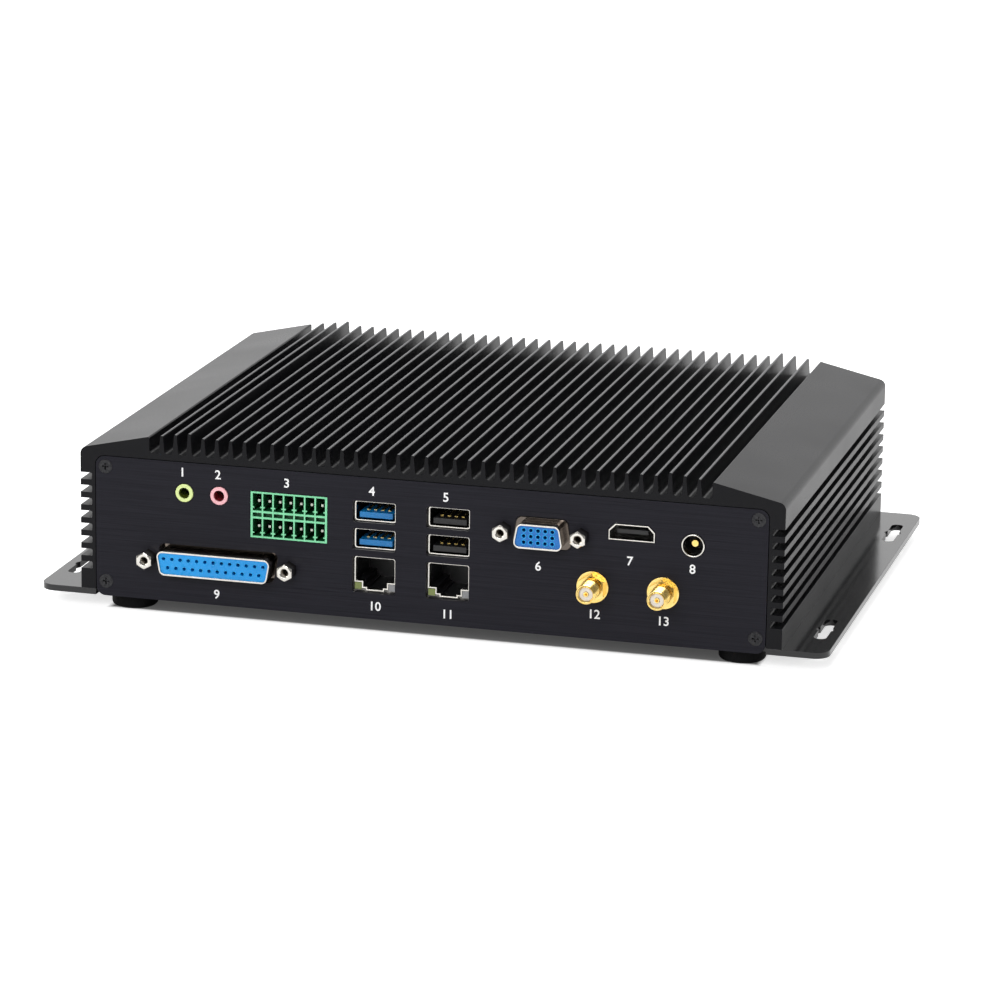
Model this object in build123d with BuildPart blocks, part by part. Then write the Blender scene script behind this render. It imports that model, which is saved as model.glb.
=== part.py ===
from build123d import *
import os
from math import atan2, degrees, radians, tan

os.makedirs("parts", exist_ok=True)

# Fanless industrial computer, in millimetres
# X to the right seen from the front, Y from the front panel to the rear, Z up from the soles of the feet
# Heights with the word above are taken from the top of the base sheet

# Housing, one aluminium extrusion drawn along Y
housing_width = 230.0
housing_depth = 175.0
shoulder_width = 23.3
shoulder_edge_above = 46.6
shoulder_rise = 5.2
shoulder_radius = 2.5
groove_floor_above = 46.5
groove_floor_radius = 1.2
fin_count = 39
fin_height = 6.0
fin_tip = 0.9
fin_root = 1.9
fin_tip_radius = 0.35
shoulder_tip_radius = 0.5
tall_fin_count = 3
tall_fin_height = 5.9
tall_fin_step = 0.65
ceiling_thickness = 4.2
side_wall = 7.2
side_groove_count = 8
side_groove_height = 2.3
side_groove_depth = 3.9
side_groove_radius = 0.6
side_groove_pitch = 4.22
lowest_side_groove_above = 6.6
rail_width = 12.4
rail_height = 6.2
corner_pad = 5.2

# Base sheet with two mounting ears
base_thickness = 2.0
ear_width = 14.5
ear_radius = 5.0
slot_from_side = 8.87
slot_from_end = 26.7
slot_length = 22.5
slot_radius = 2.0
slot_eye_radius = 2.8

# Feet
foot_height = 5.0
foot_radius = 7.5
foot_edge_radius = 1.4
foot_from_side = 14.5
foot_from_end = 11.0
foot_hole_radius = 1.7
foot_recess_radius = 3.6
foot_recess_depth = 2.6

# End panels, let into both ends of the housing
panel_thickness = 3.0
panel_inset = 5.2
panel_top_above = 44.3
panel_radius = 3.0
panel_gap = 0.25
panel_screw_inset = 3.2
panel_screw_drop = 3.4
panel_screw_lift = 4.8

# Screws
screw_gap = 0.1
thread_gap = 0.05
thread_tail = 0.5
sink_angle = 90
panel_screw_radius = 1.25
panel_screw_head_radius = 2.3
panel_screw_length = 10.0
cross_width = 0.5
cross_span = 2.2
cross_depth = 0.8
sheet_screw_radius = 1.5
sheet_screw_head_radius = 2.7
sheet_screw_length = 6.5
sheet_screw_from_side = 4.0
sheet_screw_pitch = 60.0

# Mainboard, hung component side down under the ceiling
board_above = 37.5
board_thickness = 1.6
board_side_gap = 4.6
board_end_gap = 1.0
standoff_radius = 2.6
standoff_inset = 4.2
board_screw_radius = 1.5
board_screw_head_radius = 2.8
board_screw_head = 1.8
board_screw_bite = 3.0

# Sound sockets
microphone_x = -79.95
speaker_x = -68.3
sound_above = 34.25
sound_ring_radius = 2.95
sound_bore_radius = 1.8
sound_proud = 0.3
sound_edge = 0.25
sound_body_width = 7.0
sound_body_depth = 12.0
sound_bore_depth = 13.5
sound_gap = 0.2

# Two-row signal header
header_x = -45.1
header_low_above = 21.6
header_width = 25.4
header_height = 15.1
header_depth = 14.0
header_columns = 7
header_pitch = 3.5
header_cell_width = 3.0
header_cell_height = 5.7
header_cell_depth = 9.0
header_end_wall = 0.55
header_slit_height = 1.3
header_slit_depth = 2.0
header_key_width = 0.5
header_key_height = 0.45
header_key_lift = 0.9
header_pin = 0.8
header_pin_recess = 2.1
header_gap = 0.2

# Two stacked sockets, each two serial bus ports over a network port
stack_places = (-16.9, 7.3)
stack_width = 16.2
stack_depth = 21.0
stack_low_above = 5.9
stack_sheet = 0.4
stack_shift = 0.15
mouth_width = 12.8
mouth_wall = 0.4
mouth_recess = 1.2
port_above = (24.0, 33.0)
port_cut_width = 14.1
port_cut_height = 6.9
port_cut_radius = 0.6
port_lift = 0.1
port_height = 5.8
port_depth = 12.0
tongue_width = 10.8
tongue_thickness = 1.8
tongue_lift = 0.55
tongue_recess = 1.9
contact_count = 4
contact_pitch = 2.3
contact_width = 1.0
contact_thickness = 0.2
contact_recess = 5.0
contact_length = 7.0
network_cut_height = 11.8
network_above = 12.4
network_top_above = 17.8
network_floor_above = 10.0
latch_width = 7.9
latch_floor_above = 8.1
hook_width = 5.2
hook_floor_above = 7.4
network_depth = 14.0
lamp_width = 2.3
lamp_height = 2.2
lamp_recess = 1.4
lamp_depth = 1.5
lamp_from_middle = 5.6
lamp_above = 8.3

# D-shaped connectors
d_side_angle = 80
d_radius = 1.9
d_wall = 0.5
d_proud = 5.8
d_rim = 0.6
d_flange = 1.0
d_flange_height = 12.5
d_flange_margin = 3.0
d_hole_radius = 0.6
d_hole_depth = 5.0
d_row_pitch = 2.84
d_body_depth = 8.0
d_body_height = 10.4
jackscrew_flats = 4.9
jackscrew_length = 5.0
jackscrew_bore = 1.2
jackscrew_bore_depth = 4.5
jackscrew_stud = 1.4
jackscrew_hole = 1.6
jackscrew_slope = 60
parallel_x = -68.6
parallel_above = 12.0
parallel_width = 38.3
parallel_height = 7.9
parallel_screw_pitch = 47.04
parallel_pin_pitch = 2.77
parallel_long_row = 13
parallel_cut_margin = 1.1
video_x = 37.8
video_above = 31.0
video_width = 16.2
video_height = 7.9
video_screw_pitch = 24.99
video_pin_pitch = 2.29
video_row_pitch = 1.98
video_row_length = 5
video_collar_width = 19.4
video_collar_height = 9.6
video_collar_proud = 0.2
video_collar_gap = 0.2

# Digital video socket
digital_x = 66.5
digital_above = 33.4
digital_width = 14.7
digital_height = 5.1
digital_chamfer = 2.0
digital_wall = 0.3
digital_depth = 12.0
digital_tongue_width = 9.9
digital_tongue_thickness = 1.3
digital_tongue_recess = 1.6
digital_stop = 8.0
digital_bracket_width = 10.0
digital_bracket_depth = 5.0
digital_gap = 0.2

# Power inlet
inlet_x = 86.1
inlet_above = 31.0
inlet_sleeve_radius = 3.7
inlet_bore_radius = 3.2
inlet_bore_depth = 10.0
inlet_pin_radius = 1.05
inlet_pin_recess = 3.0
inlet_edge = 0.2
inlet_body_width = 9.0
inlet_body_depth = 13.0
inlet_gap = 0.2

# Antenna sockets
antenna_places = (54.5, 77.1)
antenna_above = 15.1
antenna_thread_radius = 3.175
antenna_reach = 10.0
antenna_bore_radius = 2.3
antenna_bore_depth = 4.0
antenna_insulator_recess = 0.9
antenna_contact_radius = 0.8
antenna_contact_bore = 0.45
antenna_contact_recess = 0.5
antenna_contact_bore_depth = 2.0
antenna_nut_flats = 8.0
antenna_nut_height = 2.4
antenna_washer_radius = 5.1
antenna_washer = 0.8
antenna_flange = 2.0
antenna_flange_radius = 4.6
antenna_tail_radius = 2.0
antenna_tail = 6.0
antenna_gap = 0.1
antenna_relief = 0.8
antenna_relief_radius = 2.8

# Rear panel fittings
serial_places = (-72.0, -36.0, 0.0, 36.0)
serial_above = 31.0
serial_width = 16.9
serial_height = 8.3
serial_screw_pitch = 24.99
serial_pin_pitch = 2.77
serial_long_row = 5
serial_pin_radius = 0.5
serial_pin_length = 5.0
serial_floor_depth = 5.4
serial_cut_margin = 0.5
button_x = 82.0
button_above = 22.0
button_flange_radius = 7.5
button_flange = 1.8
button_barrel_radius = 6.0
button_barrel_length = 17.0
button_lip_radius = 4.8
button_lip = 0.8
button_bore_radius = 5.4
button_bore_depth = 3.6
button_cap_radius = 4.5
button_cap_proud = 0.7
button_cap_skirt_radius = 5.1
button_cap_skirt = 1.2
button_cap_rest = 0.05
button_cap_edge = 0.4
button_flange_edge = 0.6
button_nut_flats = 15.0
button_nut_height = 2.5
light_x = 64.0
light_heights_above = (18.0, 26.0)
light_radius = 1.5
light_proud = 0.9
light_flange_radius = 2.1
light_flange = 1.0
light_length = 5.0
light_gap = 0.1
light_dome = 0.7

# Pieces on and under the board
processor_size = 25.0
processor_height = 1.3
processor_y = 10.0
heat_block_size = 60.0
memory_x = -30.0
memory_y = 25.0
memory_socket_length = 73.0
memory_socket_width = 6.5
memory_socket_height = 5.2
memory_module_length = 67.6
memory_module_width = 30.0
memory_module_thickness = 1.2
memory_module_insert = 4.0
memory_module_drop = 3.0
memory_chip_length = 11.0
memory_chip_width = 12.0
memory_chip_height = 1.0
memory_chip_pitch = 15.5
memory_chip_count = 4
slot_gap = 0.05
radio_x = 55.0
radio_y = 25.0
radio_width = 22.0
radio_length = 30.0
radio_thickness = 0.9
radio_socket_height = 4.2
radio_socket_depth = 6.0
radio_drop = 2.2
radio_insert = 3.0
radio_can_width = 15.0
radio_can_length = 14.0
radio_can_height = 1.4
radio_post_inset = 3.0
cell_x = 20.0
cell_y = -25.0
cell_radius = 10.0
cell_height = 3.2
cell_holder_wall = 1.5
cell_holder_floor = 1.0
cell_gap = 0.2
drive_length = 100.0
drive_width = 69.9
drive_height = 7.0
drive_radius = 2.0
drive_screw_pitch_x = 76.6
drive_screw_pitch_y = 61.7
drive_screw_length = 5.0
drive_plug_width = 30.0
drive_plug_depth = 6.0
drive_plug_height = 3.0

# Levels and faces that follow from the sizes
touch = 0.01
base_low = foot_height
base_top = base_low + base_thickness
half_width = housing_width / 2
rear_reach = max(d_proud, button_flange + button_cap_proud)
front_face = -(housing_depth + rear_reach - antenna_reach) / 2
rear_face = front_face + housing_depth
mid_y = (front_face + rear_face) / 2
ceiling = base_top + groove_floor_above - ceiling_thickness
cavity_half = half_width - side_wall
panel_width = housing_width - 2 * panel_inset
panel_height = base_thickness + panel_top_above
panel_middle = base_low + panel_height / 2
board_width = 2 * (cavity_half - corner_pad - board_side_gap)
board_low = base_top + board_above
board_top = board_low + board_thickness
board_front = front_face + panel_thickness + board_end_gap
board_rear = rear_face - panel_thickness - board_end_gap
fin_pitch = (housing_width - 2 * shoulder_width + fin_tip) / (fin_count + 1)
panel_screw_x = panel_width / 2 - panel_screw_inset
panel_screw_places = [
    (side * panel_screw_x, z)
    for side in (-1, 1)
    for z in (base_low + panel_screw_lift, base_top + panel_top_above - panel_screw_drop)
]
sheet_screw_places = [
    (side * (half_width - sheet_screw_from_side), mid_y + row * sheet_screw_pitch)
    for side in (-1, 1)
    for row in (-1, 0, 1)
]
foot_places = [
    (side * (half_width - foot_from_side), y)
    for side in (-1, 1)
    for y in (front_face + foot_from_end, rear_face - foot_from_end)
]
drive_screw_places = [
    (side * drive_screw_pitch_x / 2, mid_y + row * drive_screw_pitch_y / 2)
    for side in (-1, 1)
    for row in (-1, 1)
]
parallel_centre = (parallel_x, base_top + parallel_above)
video_centre = (video_x, base_top + video_above)
serial_centres = [(x, base_top + serial_above) for x in serial_places]
antenna_centres = [(x, base_top + antenna_above) for x in antenna_places]
stack_middles = [x + stack_shift for x in stack_places]
inlet_centre = (inlet_x, base_top + inlet_above)
digital_middle = base_top + digital_above
button_centre = (button_x, base_top + button_above)
light_places = [(light_x, base_top + above) for above in light_heights_above]
standoff_places = [
    (side * (board_width / 2 - standoff_inset), y)
    for side in (-1, 1)
    for y in (board_front + standoff_inset, mid_y, board_rear - standoff_inset)
]


def front_plane(inward=0.0):
    """Faces the viewer of the front, X to the right and Z up, so far behind the front face."""
    return Plane.XZ.offset(-(front_face + inward))


def rear_plane(inward=0.0):
    """Faces the viewer of the rear, so far in from the rear face."""
    return Plane(origin=(0, rear_face - inward, 0), x_dir=(-1, 0, 0), z_dir=(0, 1, 0))


def finish(piece, label):
    """Names a finished piece and writes it."""
    piece.part.label = label
    export_step(piece.part, f"parts/{label}.step")


def d_outline(width, height, radius, turn=0):
    """A rounded D-shaped outline with its wide side down, or up when turned by 180 degrees."""
    with BuildSketch() as outline:
        Trapezoid(width, height, d_side_angle, rotation=turn)
        fillet(outline.vertices(), radius)
    return outline.sketch


def network_outline(margin=0.0):
    """The mouth of a network socket, with the stepped room for the plug's latch at its foot."""
    with BuildSketch() as outline:
        for width, floor_above in (
            (mouth_width, network_floor_above),
            (latch_width, latch_floor_above),
            (hook_width, hook_floor_above),
        ):
            with Locations((0, base_top + floor_above - margin)):
                Rectangle(
                    width + 2 * margin,
                    network_top_above - floor_above + 2 * margin,
                    align=(Align.CENTER, Align.MIN),
                )
        fillet(outline.vertices().group_by(Axis.Y)[-1], port_cut_radius + margin)
    return outline.sketch


def digital_outline(margin=0.0):
    """The mouth of the digital video socket, its narrow side up."""
    half = digital_width / 2 + margin
    low = digital_middle - digital_height / 2 - margin
    high = low + digital_height + 2 * margin
    with BuildSketch() as outline:
        with BuildLine():
            Polyline(
                (digital_x - half, low),
                (digital_x + half, low),
                (digital_x + half, high - digital_chamfer),
                (digital_x + half - digital_chamfer, high),
                (digital_x - half + digital_chamfer, high),
                (digital_x - half, high - digital_chamfer),
                close=True,
            )
        make_face()
    return outline.sketch


def sunk_screw(radius, head_radius, length):
    """A countersunk screw with a cross recess, its head's top at the origin and its tip below."""
    head = (head_radius - radius) / tan(radians(sink_angle / 2))
    with BuildPart() as screw:
        with BuildSketch(Plane.XZ):
            with BuildLine():
                Polyline(
                    (0, 0),
                    (head_radius, 0),
                    (radius, -head),
                    (radius, -length),
                    (0, -length),
                    close=True,
                )
            make_face()
        revolve(axis=Axis.Z)
        with BuildSketch():
            Rectangle(cross_span, cross_width)
            Rectangle(cross_width, cross_span)
        extrude(amount=-cross_depth, mode=Mode.SUBTRACT)
    return screw.part


def pan_screw(radius, head_radius, head, length):
    """A pan-head screw, the seat of its head at the origin and its tip below."""
    with BuildPart() as screw:
        Cylinder(radius, length, align=(Align.CENTER, Align.CENTER, Align.MAX))
        Cylinder(head_radius, head, align=(Align.CENTER, Align.CENTER, Align.MIN))
        fillet(screw.edges().filter_by(GeomType.CIRCLE).sort_by(Axis.Z)[-1], head / 3)
        with BuildSketch(Plane.XY.offset(head)):
            Rectangle(cross_span, cross_width)
            Rectangle(cross_width, cross_span)
        extrude(amount=-cross_depth, mode=Mode.SUBTRACT)
    return screw.part


def jackscrew():
    """A hexagonal jackscrew standing on a panel at the origin, with its stud below."""
    stud_length = panel_thickness + 2 * d_flange
    cone_spread = jackscrew_length * tan(radians(jackscrew_slope))
    with BuildPart() as screw:
        with BuildSketch():
            RegularPolygon(jackscrew_flats / 2, 6, major_radius=False)
        extrude(amount=jackscrew_length)
        Cone(
            jackscrew_flats / 2 + cone_spread,
            jackscrew_flats / 2,
            jackscrew_length,
            align=(Align.CENTER, Align.CENTER, Align.MIN),
            mode=Mode.INTERSECT,
        )
        Cylinder(jackscrew_stud, stud_length, align=(Align.CENTER, Align.CENTER, Align.MAX))
        with Locations((0, 0, jackscrew_length)):
            Hole(jackscrew_bore, depth=jackscrew_bore_depth)
    return screw.part


panel_screw = sunk_screw(panel_screw_radius, panel_screw_head_radius, panel_screw_length)
sheet_screw = sunk_screw(sheet_screw_radius, sheet_screw_head_radius, sheet_screw_length)
drive_screw = sunk_screw(sheet_screw_radius, sheet_screw_head_radius, drive_screw_length)
port_jackscrew = jackscrew()
parallel_shell_outline = d_outline(parallel_width, parallel_height, d_radius, 180)
parallel_inner_outline = d_outline(
    parallel_width - 2 * d_wall, parallel_height - 2 * d_wall, d_radius - d_wall, 180
)
parallel_cut_outline = d_outline(
    parallel_width + 2 * parallel_cut_margin, parallel_height + 2 * parallel_cut_margin, d_radius, 180
)
video_shell_outline = d_outline(video_width, video_height, d_radius)
video_inner_outline = d_outline(video_width - 2 * d_wall, video_height - 2 * d_wall, d_radius - d_wall)
video_collar_outline = d_outline(video_collar_width, video_collar_height, d_radius)
video_cut_outline = d_outline(
    video_collar_width + 2 * video_collar_gap, video_collar_height + 2 * video_collar_gap, d_radius
)
serial_shell_outline = d_outline(serial_width, serial_height, d_radius)
serial_inner_outline = d_outline(serial_width - 2 * d_wall, serial_height - 2 * d_wall, d_radius - d_wall)
serial_cut_outline = d_outline(
    serial_width + 2 * serial_cut_margin, serial_height + 2 * serial_cut_margin, d_radius
)
network_mouth = network_outline()
network_rim = network_outline(mouth_wall)
digital_shell_outline = digital_outline()
digital_inner_outline = digital_outline(-digital_wall)
digital_cut_outline = digital_outline(digital_gap)


def fin_outline(height):
    """One fin of this height standing on the origin, thinner and rounded at its top."""
    lean = degrees(atan2(height, (fin_root - fin_tip) / 2))
    with BuildSketch() as outline:
        Trapezoid(fin_root, height, lean, align=(Align.CENTER, Align.MIN))
        fillet(outline.vertices().group_by(Axis.Y)[-1], fin_tip_radius)
    return outline.sketch


# Housing: profile with shoulders, fins, screw ports and side grooves, then the panels' seats
shoulder_edge = base_top + shoulder_edge_above
groove_floor = base_top + groove_floor_above
shoulder_inner = half_width - shoulder_width
fin_xs = [(index - (fin_count - 1) / 2) * fin_pitch for index in range(fin_count)]

fin_outlines = [fin_outline(tall_fin_height + step * tall_fin_step) for step in range(tall_fin_count)]
fin_outlines.append(fin_outline(fin_height))

with BuildPart() as housing:
    with BuildSketch(front_plane()) as housing_profile:
        with BuildLine():
            Polyline(
                (-half_width, base_top),
                (-half_width, shoulder_edge),
                (-shoulder_inner, shoulder_edge + shoulder_rise),
                (-shoulder_inner, groove_floor),
                (shoulder_inner, groove_floor),
                (shoulder_inner, shoulder_edge + shoulder_rise),
                (half_width, shoulder_edge),
                (half_width, base_top),
                close=True,
            )
        make_face()
        outer_sides = housing_profile.vertices().group_by(Axis.X)
        fillet([outer_sides[end].sort_by(Axis.Y)[-1] for end in (0, -1)], shoulder_radius)
        fillet(housing_profile.vertices().group_by(Axis.Y)[-1], shoulder_tip_radius)
        for index, x in enumerate(fin_xs):
            with Locations((x, groove_floor)):
                add(fin_outlines[min(index, fin_count - 1 - index, tall_fin_count)])
        at_floor = housing_profile.vertices().filter_by_position(
            Axis.Y, groove_floor - touch, groove_floor + touch
        )
        fillet(at_floor, groove_floor_radius)
        with Locations((0, base_top)):
            Rectangle(
                2 * cavity_half, ceiling - base_top, align=(Align.CENTER, Align.MIN), mode=Mode.SUBTRACT
            )
        for side, align_x in ((-1, Align.MIN), (1, Align.MAX)):
            with Locations((side * half_width, base_top)):
                Rectangle(rail_width, rail_height, align=(align_x, Align.MIN))
            with Locations((side * cavity_half, ceiling)):
                Rectangle(corner_pad, corner_pad, align=(align_x, Align.MAX))
            with Locations((side * half_width, base_top + lowest_side_groove_above)):
                for row in range(side_groove_count):
                    with Locations((0, row * side_groove_pitch)):
                        RectangleRounded(
                            2 * side_groove_depth,
                            side_groove_height,
                            side_groove_radius,
                            align=(Align.CENTER, Align.MIN),
                            mode=Mode.SUBTRACT,
                        )
        with Locations(*panel_screw_places):
            Circle(panel_screw_radius + thread_gap, mode=Mode.SUBTRACT)
    extrude(amount=-housing_depth)
    for end_plane in (front_plane(), rear_plane()):
        with BuildSketch(end_plane):
            with Locations((0, panel_middle)):
                RectangleRounded(
                    panel_width + 2 * panel_gap, panel_height + 2 * panel_gap, panel_radius + panel_gap
                )
            with Locations((0, base_low)):
                Rectangle(
                    panel_width + 2 * panel_gap, panel_height / 2, align=(Align.CENTER, Align.MIN)
                )
        extrude(amount=-panel_thickness, mode=Mode.SUBTRACT)
    with Locations(Plane.XY.offset(base_top).rotated((180, 0, 0))):
        with Locations(*[(x, -y) for x, y in sheet_screw_places]):
            Hole(sheet_screw_radius + thread_gap, depth=sheet_screw_length - base_thickness + thread_tail)
    with Locations(Plane.XY.offset(ceiling).rotated((180, 0, 0))):
        with Locations(*[(x, -y) for x, y in standoff_places]):
            Hole(board_screw_radius + thread_gap, depth=board_screw_bite + thread_tail / 2)
finish(housing, "housing")

# Base sheet: flat, notched for both panels, with slotted ears
with BuildPart() as base_sheet:
    with BuildSketch(Plane.XY.offset(base_low)) as base_outline:
        with Locations((0, mid_y)):
            RectangleRounded(housing_width + 2 * ear_width, housing_depth, ear_radius)
        for edge, align_y in ((front_face, Align.MIN), (rear_face, Align.MAX)):
            with Locations((0, edge)):
                Rectangle(
                    panel_width + 2 * panel_gap,
                    panel_thickness + panel_gap,
                    align=(Align.CENTER, align_y),
                    mode=Mode.SUBTRACT,
                )
        for side in (-1, 1):
            for y in (front_face + slot_from_end, rear_face - slot_from_end):
                with Locations((side * (half_width + slot_from_side), y)):
                    SlotOverall(slot_length, 2 * slot_radius, rotation=90, mode=Mode.SUBTRACT)
                    Circle(slot_eye_radius, mode=Mode.SUBTRACT)
        with Locations(*foot_places):
            Circle(board_screw_radius + thread_gap, mode=Mode.SUBTRACT)
    extrude(amount=base_thickness)
    with Locations(Plane.XY.offset(base_low).rotated((180, 0, 0))):
        with Locations(*[(x, -y) for x, y in sheet_screw_places + drive_screw_places]):
            CounterSinkHole(
                sheet_screw_radius + screw_gap,
                sheet_screw_head_radius + screw_gap,
                depth=base_thickness,
                counter_sink_angle=sink_angle,
            )
finish(base_sheet, "base_sheet")

with BuildPart() as base_screws:
    with Locations(Plane.XY.offset(base_low).rotated((180, 0, 0))):
        with Locations(*[(x, -y) for x, y in sheet_screw_places]):
            add(sheet_screw)
finish(base_screws, "base_screws")

# Feet, each held by a screw in a recess of its sole
with BuildPart() as rubber_foot:
    Cylinder(foot_radius, foot_height, align=(Align.CENTER, Align.CENTER, Align.MIN))
    fillet(rubber_foot.edges().filter_by(GeomType.CIRCLE).sort_by(Axis.Z)[0], foot_edge_radius)
    with Locations(Plane.XY.rotated((180, 0, 0))):
        CounterBoreHole(foot_hole_radius, foot_recess_radius, foot_recess_depth, depth=foot_height)

with BuildPart() as feet:
    with Locations(*foot_places):
        add(rubber_foot.part)
finish(feet, "feet")

foot_screw_length = foot_height - foot_recess_depth + base_thickness + 2
foot_screw = pan_screw(board_screw_radius, board_screw_head_radius, board_screw_head, foot_screw_length)
with BuildPart() as foot_screws:
    with Locations(Plane.XY.offset(foot_recess_depth).rotated((180, 0, 0))):
        with Locations(*[(x, -y) for x, y in foot_places]):
            add(foot_screw)
finish(foot_screws, "foot_screws")

# Front panel with a cut-out for each connector
with BuildPart() as front_panel:
    with BuildSketch(front_plane()):
        with Locations((0, panel_middle)):
            RectangleRounded(panel_width, panel_height, panel_radius)
        with Locations(*[(x, base_top + sound_above) for x in (microphone_x, speaker_x)]):
            Circle(sound_ring_radius + sound_gap, mode=Mode.SUBTRACT)
        with Locations((header_x, base_top + header_low_above + header_height / 2)):
            Rectangle(header_width + 2 * header_gap, header_height + 2 * header_gap, mode=Mode.SUBTRACT)
        with Locations(*[(x, base_top + above) for x in stack_places for above in port_above]):
            RectangleRounded(port_cut_width, port_cut_height, port_cut_radius, mode=Mode.SUBTRACT)
        with Locations(*[(x, base_top + network_above) for x in stack_places]):
            RectangleRounded(port_cut_width, network_cut_height, port_cut_radius, mode=Mode.SUBTRACT)
        with Locations(parallel_centre):
            add(parallel_cut_outline, mode=Mode.SUBTRACT)
            with GridLocations(parallel_screw_pitch, 0, 2, 1):
                Circle(jackscrew_hole, mode=Mode.SUBTRACT)
        with Locations(video_centre):
            add(video_cut_outline, mode=Mode.SUBTRACT)
            with GridLocations(video_screw_pitch, 0, 2, 1):
                Circle(jackscrew_hole, mode=Mode.SUBTRACT)
        add(digital_cut_outline, mode=Mode.SUBTRACT)
        with Locations(inlet_centre):
            Circle(inlet_sleeve_radius + inlet_gap, mode=Mode.SUBTRACT)
        with Locations(*antenna_centres):
            Circle(antenna_thread_radius + antenna_gap, mode=Mode.SUBTRACT)
    extrude(amount=-panel_thickness)
    with Locations(front_plane()):
        with Locations(*panel_screw_places):
            CounterSinkHole(
                panel_screw_radius + screw_gap,
                panel_screw_head_radius + screw_gap,
                depth=panel_thickness,
                counter_sink_angle=sink_angle,
            )
finish(front_panel, "front_panel")

# Rear panel
with BuildPart() as rear_panel:
    with BuildSketch(rear_plane()):
        with Locations((0, panel_middle)):
            RectangleRounded(panel_width, panel_height, panel_radius)
        with Locations(*serial_centres):
            add(serial_cut_outline, mode=Mode.SUBTRACT)
            with GridLocations(serial_screw_pitch, 0, 2, 1):
                Circle(jackscrew_hole, mode=Mode.SUBTRACT)
        with Locations(button_centre):
            Circle(button_barrel_radius + light_gap, mode=Mode.SUBTRACT)
        with Locations(*light_places):
            Circle(light_radius + light_gap, mode=Mode.SUBTRACT)
    extrude(amount=-panel_thickness)
    with Locations(rear_plane()):
        with Locations(*panel_screw_places):
            CounterSinkHole(
                panel_screw_radius + screw_gap,
                panel_screw_head_radius + screw_gap,
                depth=panel_thickness,
                counter_sink_angle=sink_angle,
            )
finish(rear_panel, "rear_panel")

with BuildPart() as panel_screws:
    for end_plane in (front_plane(), rear_plane()):
        with Locations(end_plane):
            with Locations(*panel_screw_places):
                add(panel_screw)
finish(panel_screws, "panel_screws")


# Sound sockets: a coloured ring through the panel and a body hung from the board
def sound_socket(x):
    """One sound socket with its bore."""
    middle = base_top + sound_above
    with BuildPart() as socket:
        with BuildSketch(front_plane(-sound_proud)):
            with Locations((x, middle)):
                Circle(sound_ring_radius)
        extrude(amount=-(panel_thickness + sound_proud))
        fillet(socket.faces().sort_by(Axis.Y)[0].edges(), sound_edge)
        with BuildSketch(front_plane(panel_thickness)):
            with Locations((x, board_low)):
                Rectangle(
                    sound_body_width, board_low - middle + sound_ring_radius, align=(Align.CENTER, Align.MAX)
                )
        extrude(amount=-sound_body_depth)
        with Locations(front_plane(-sound_proud)):
            with Locations((x, middle)):
                Hole(sound_bore_radius, depth=sound_bore_depth)
    return socket


finish(sound_socket(microphone_x), "microphone_socket")
finish(sound_socket(speaker_x), "speaker_socket")

# Signal header: two rows of cells with a pin in each, keyed for a pluggable terminal block
header_low = base_top + header_low_above
header_cell_columns = [
    header_x + (column - (header_columns - 1) / 2) * header_pitch for column in range(header_columns)
]
header_row_middles = [
    header_low + header_end_wall + header_cell_height / 2,
    header_low + header_height - header_end_wall - header_cell_height / 2,
]
header_pin_places = [(x, z) for x in header_cell_columns for z in header_row_middles]

with BuildPart() as signal_header:
    with BuildSketch(front_plane()):
        with Locations((header_x, header_low)):
            Rectangle(header_width, header_height, align=(Align.CENTER, Align.MIN))
    extrude(amount=-header_depth)
    with BuildSketch(front_plane(panel_thickness)):
        with Locations((header_x, header_low)):
            Rectangle(header_width, board_low - header_low, align=(Align.CENTER, Align.MIN))
    extrude(amount=-(header_depth - panel_thickness))
    with BuildSketch(front_plane()):
        with Locations(*header_pin_places):
            Rectangle(header_cell_width, header_cell_height)
        key_offset = -header_cell_height / 2 + header_key_lift
        for side, align_x in ((-1, Align.MIN), (1, Align.MAX)):
            key_x = side * header_cell_width / 2
            with Locations(*[(x + key_x, z + key_offset) for x, z in header_pin_places]):
                Rectangle(
                    header_key_width, header_key_height, align=(align_x, Align.MIN), mode=Mode.SUBTRACT
                )
    extrude(amount=-header_cell_depth, mode=Mode.SUBTRACT)
    with BuildSketch(front_plane()):
        with Locations(*[(x, header_low + header_height / 2) for x in header_cell_columns]):
            Rectangle(header_cell_width, header_slit_height)
    extrude(amount=-header_slit_depth, mode=Mode.SUBTRACT)
finish(signal_header, "signal_header")

with BuildPart() as signal_pins:
    with BuildSketch(front_plane(header_pin_recess)):
        with Locations(*header_pin_places):
            Rectangle(header_pin, header_pin)
    extrude(amount=-(header_cell_depth - header_pin_recess))
finish(signal_pins, "signal_pins")


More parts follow.
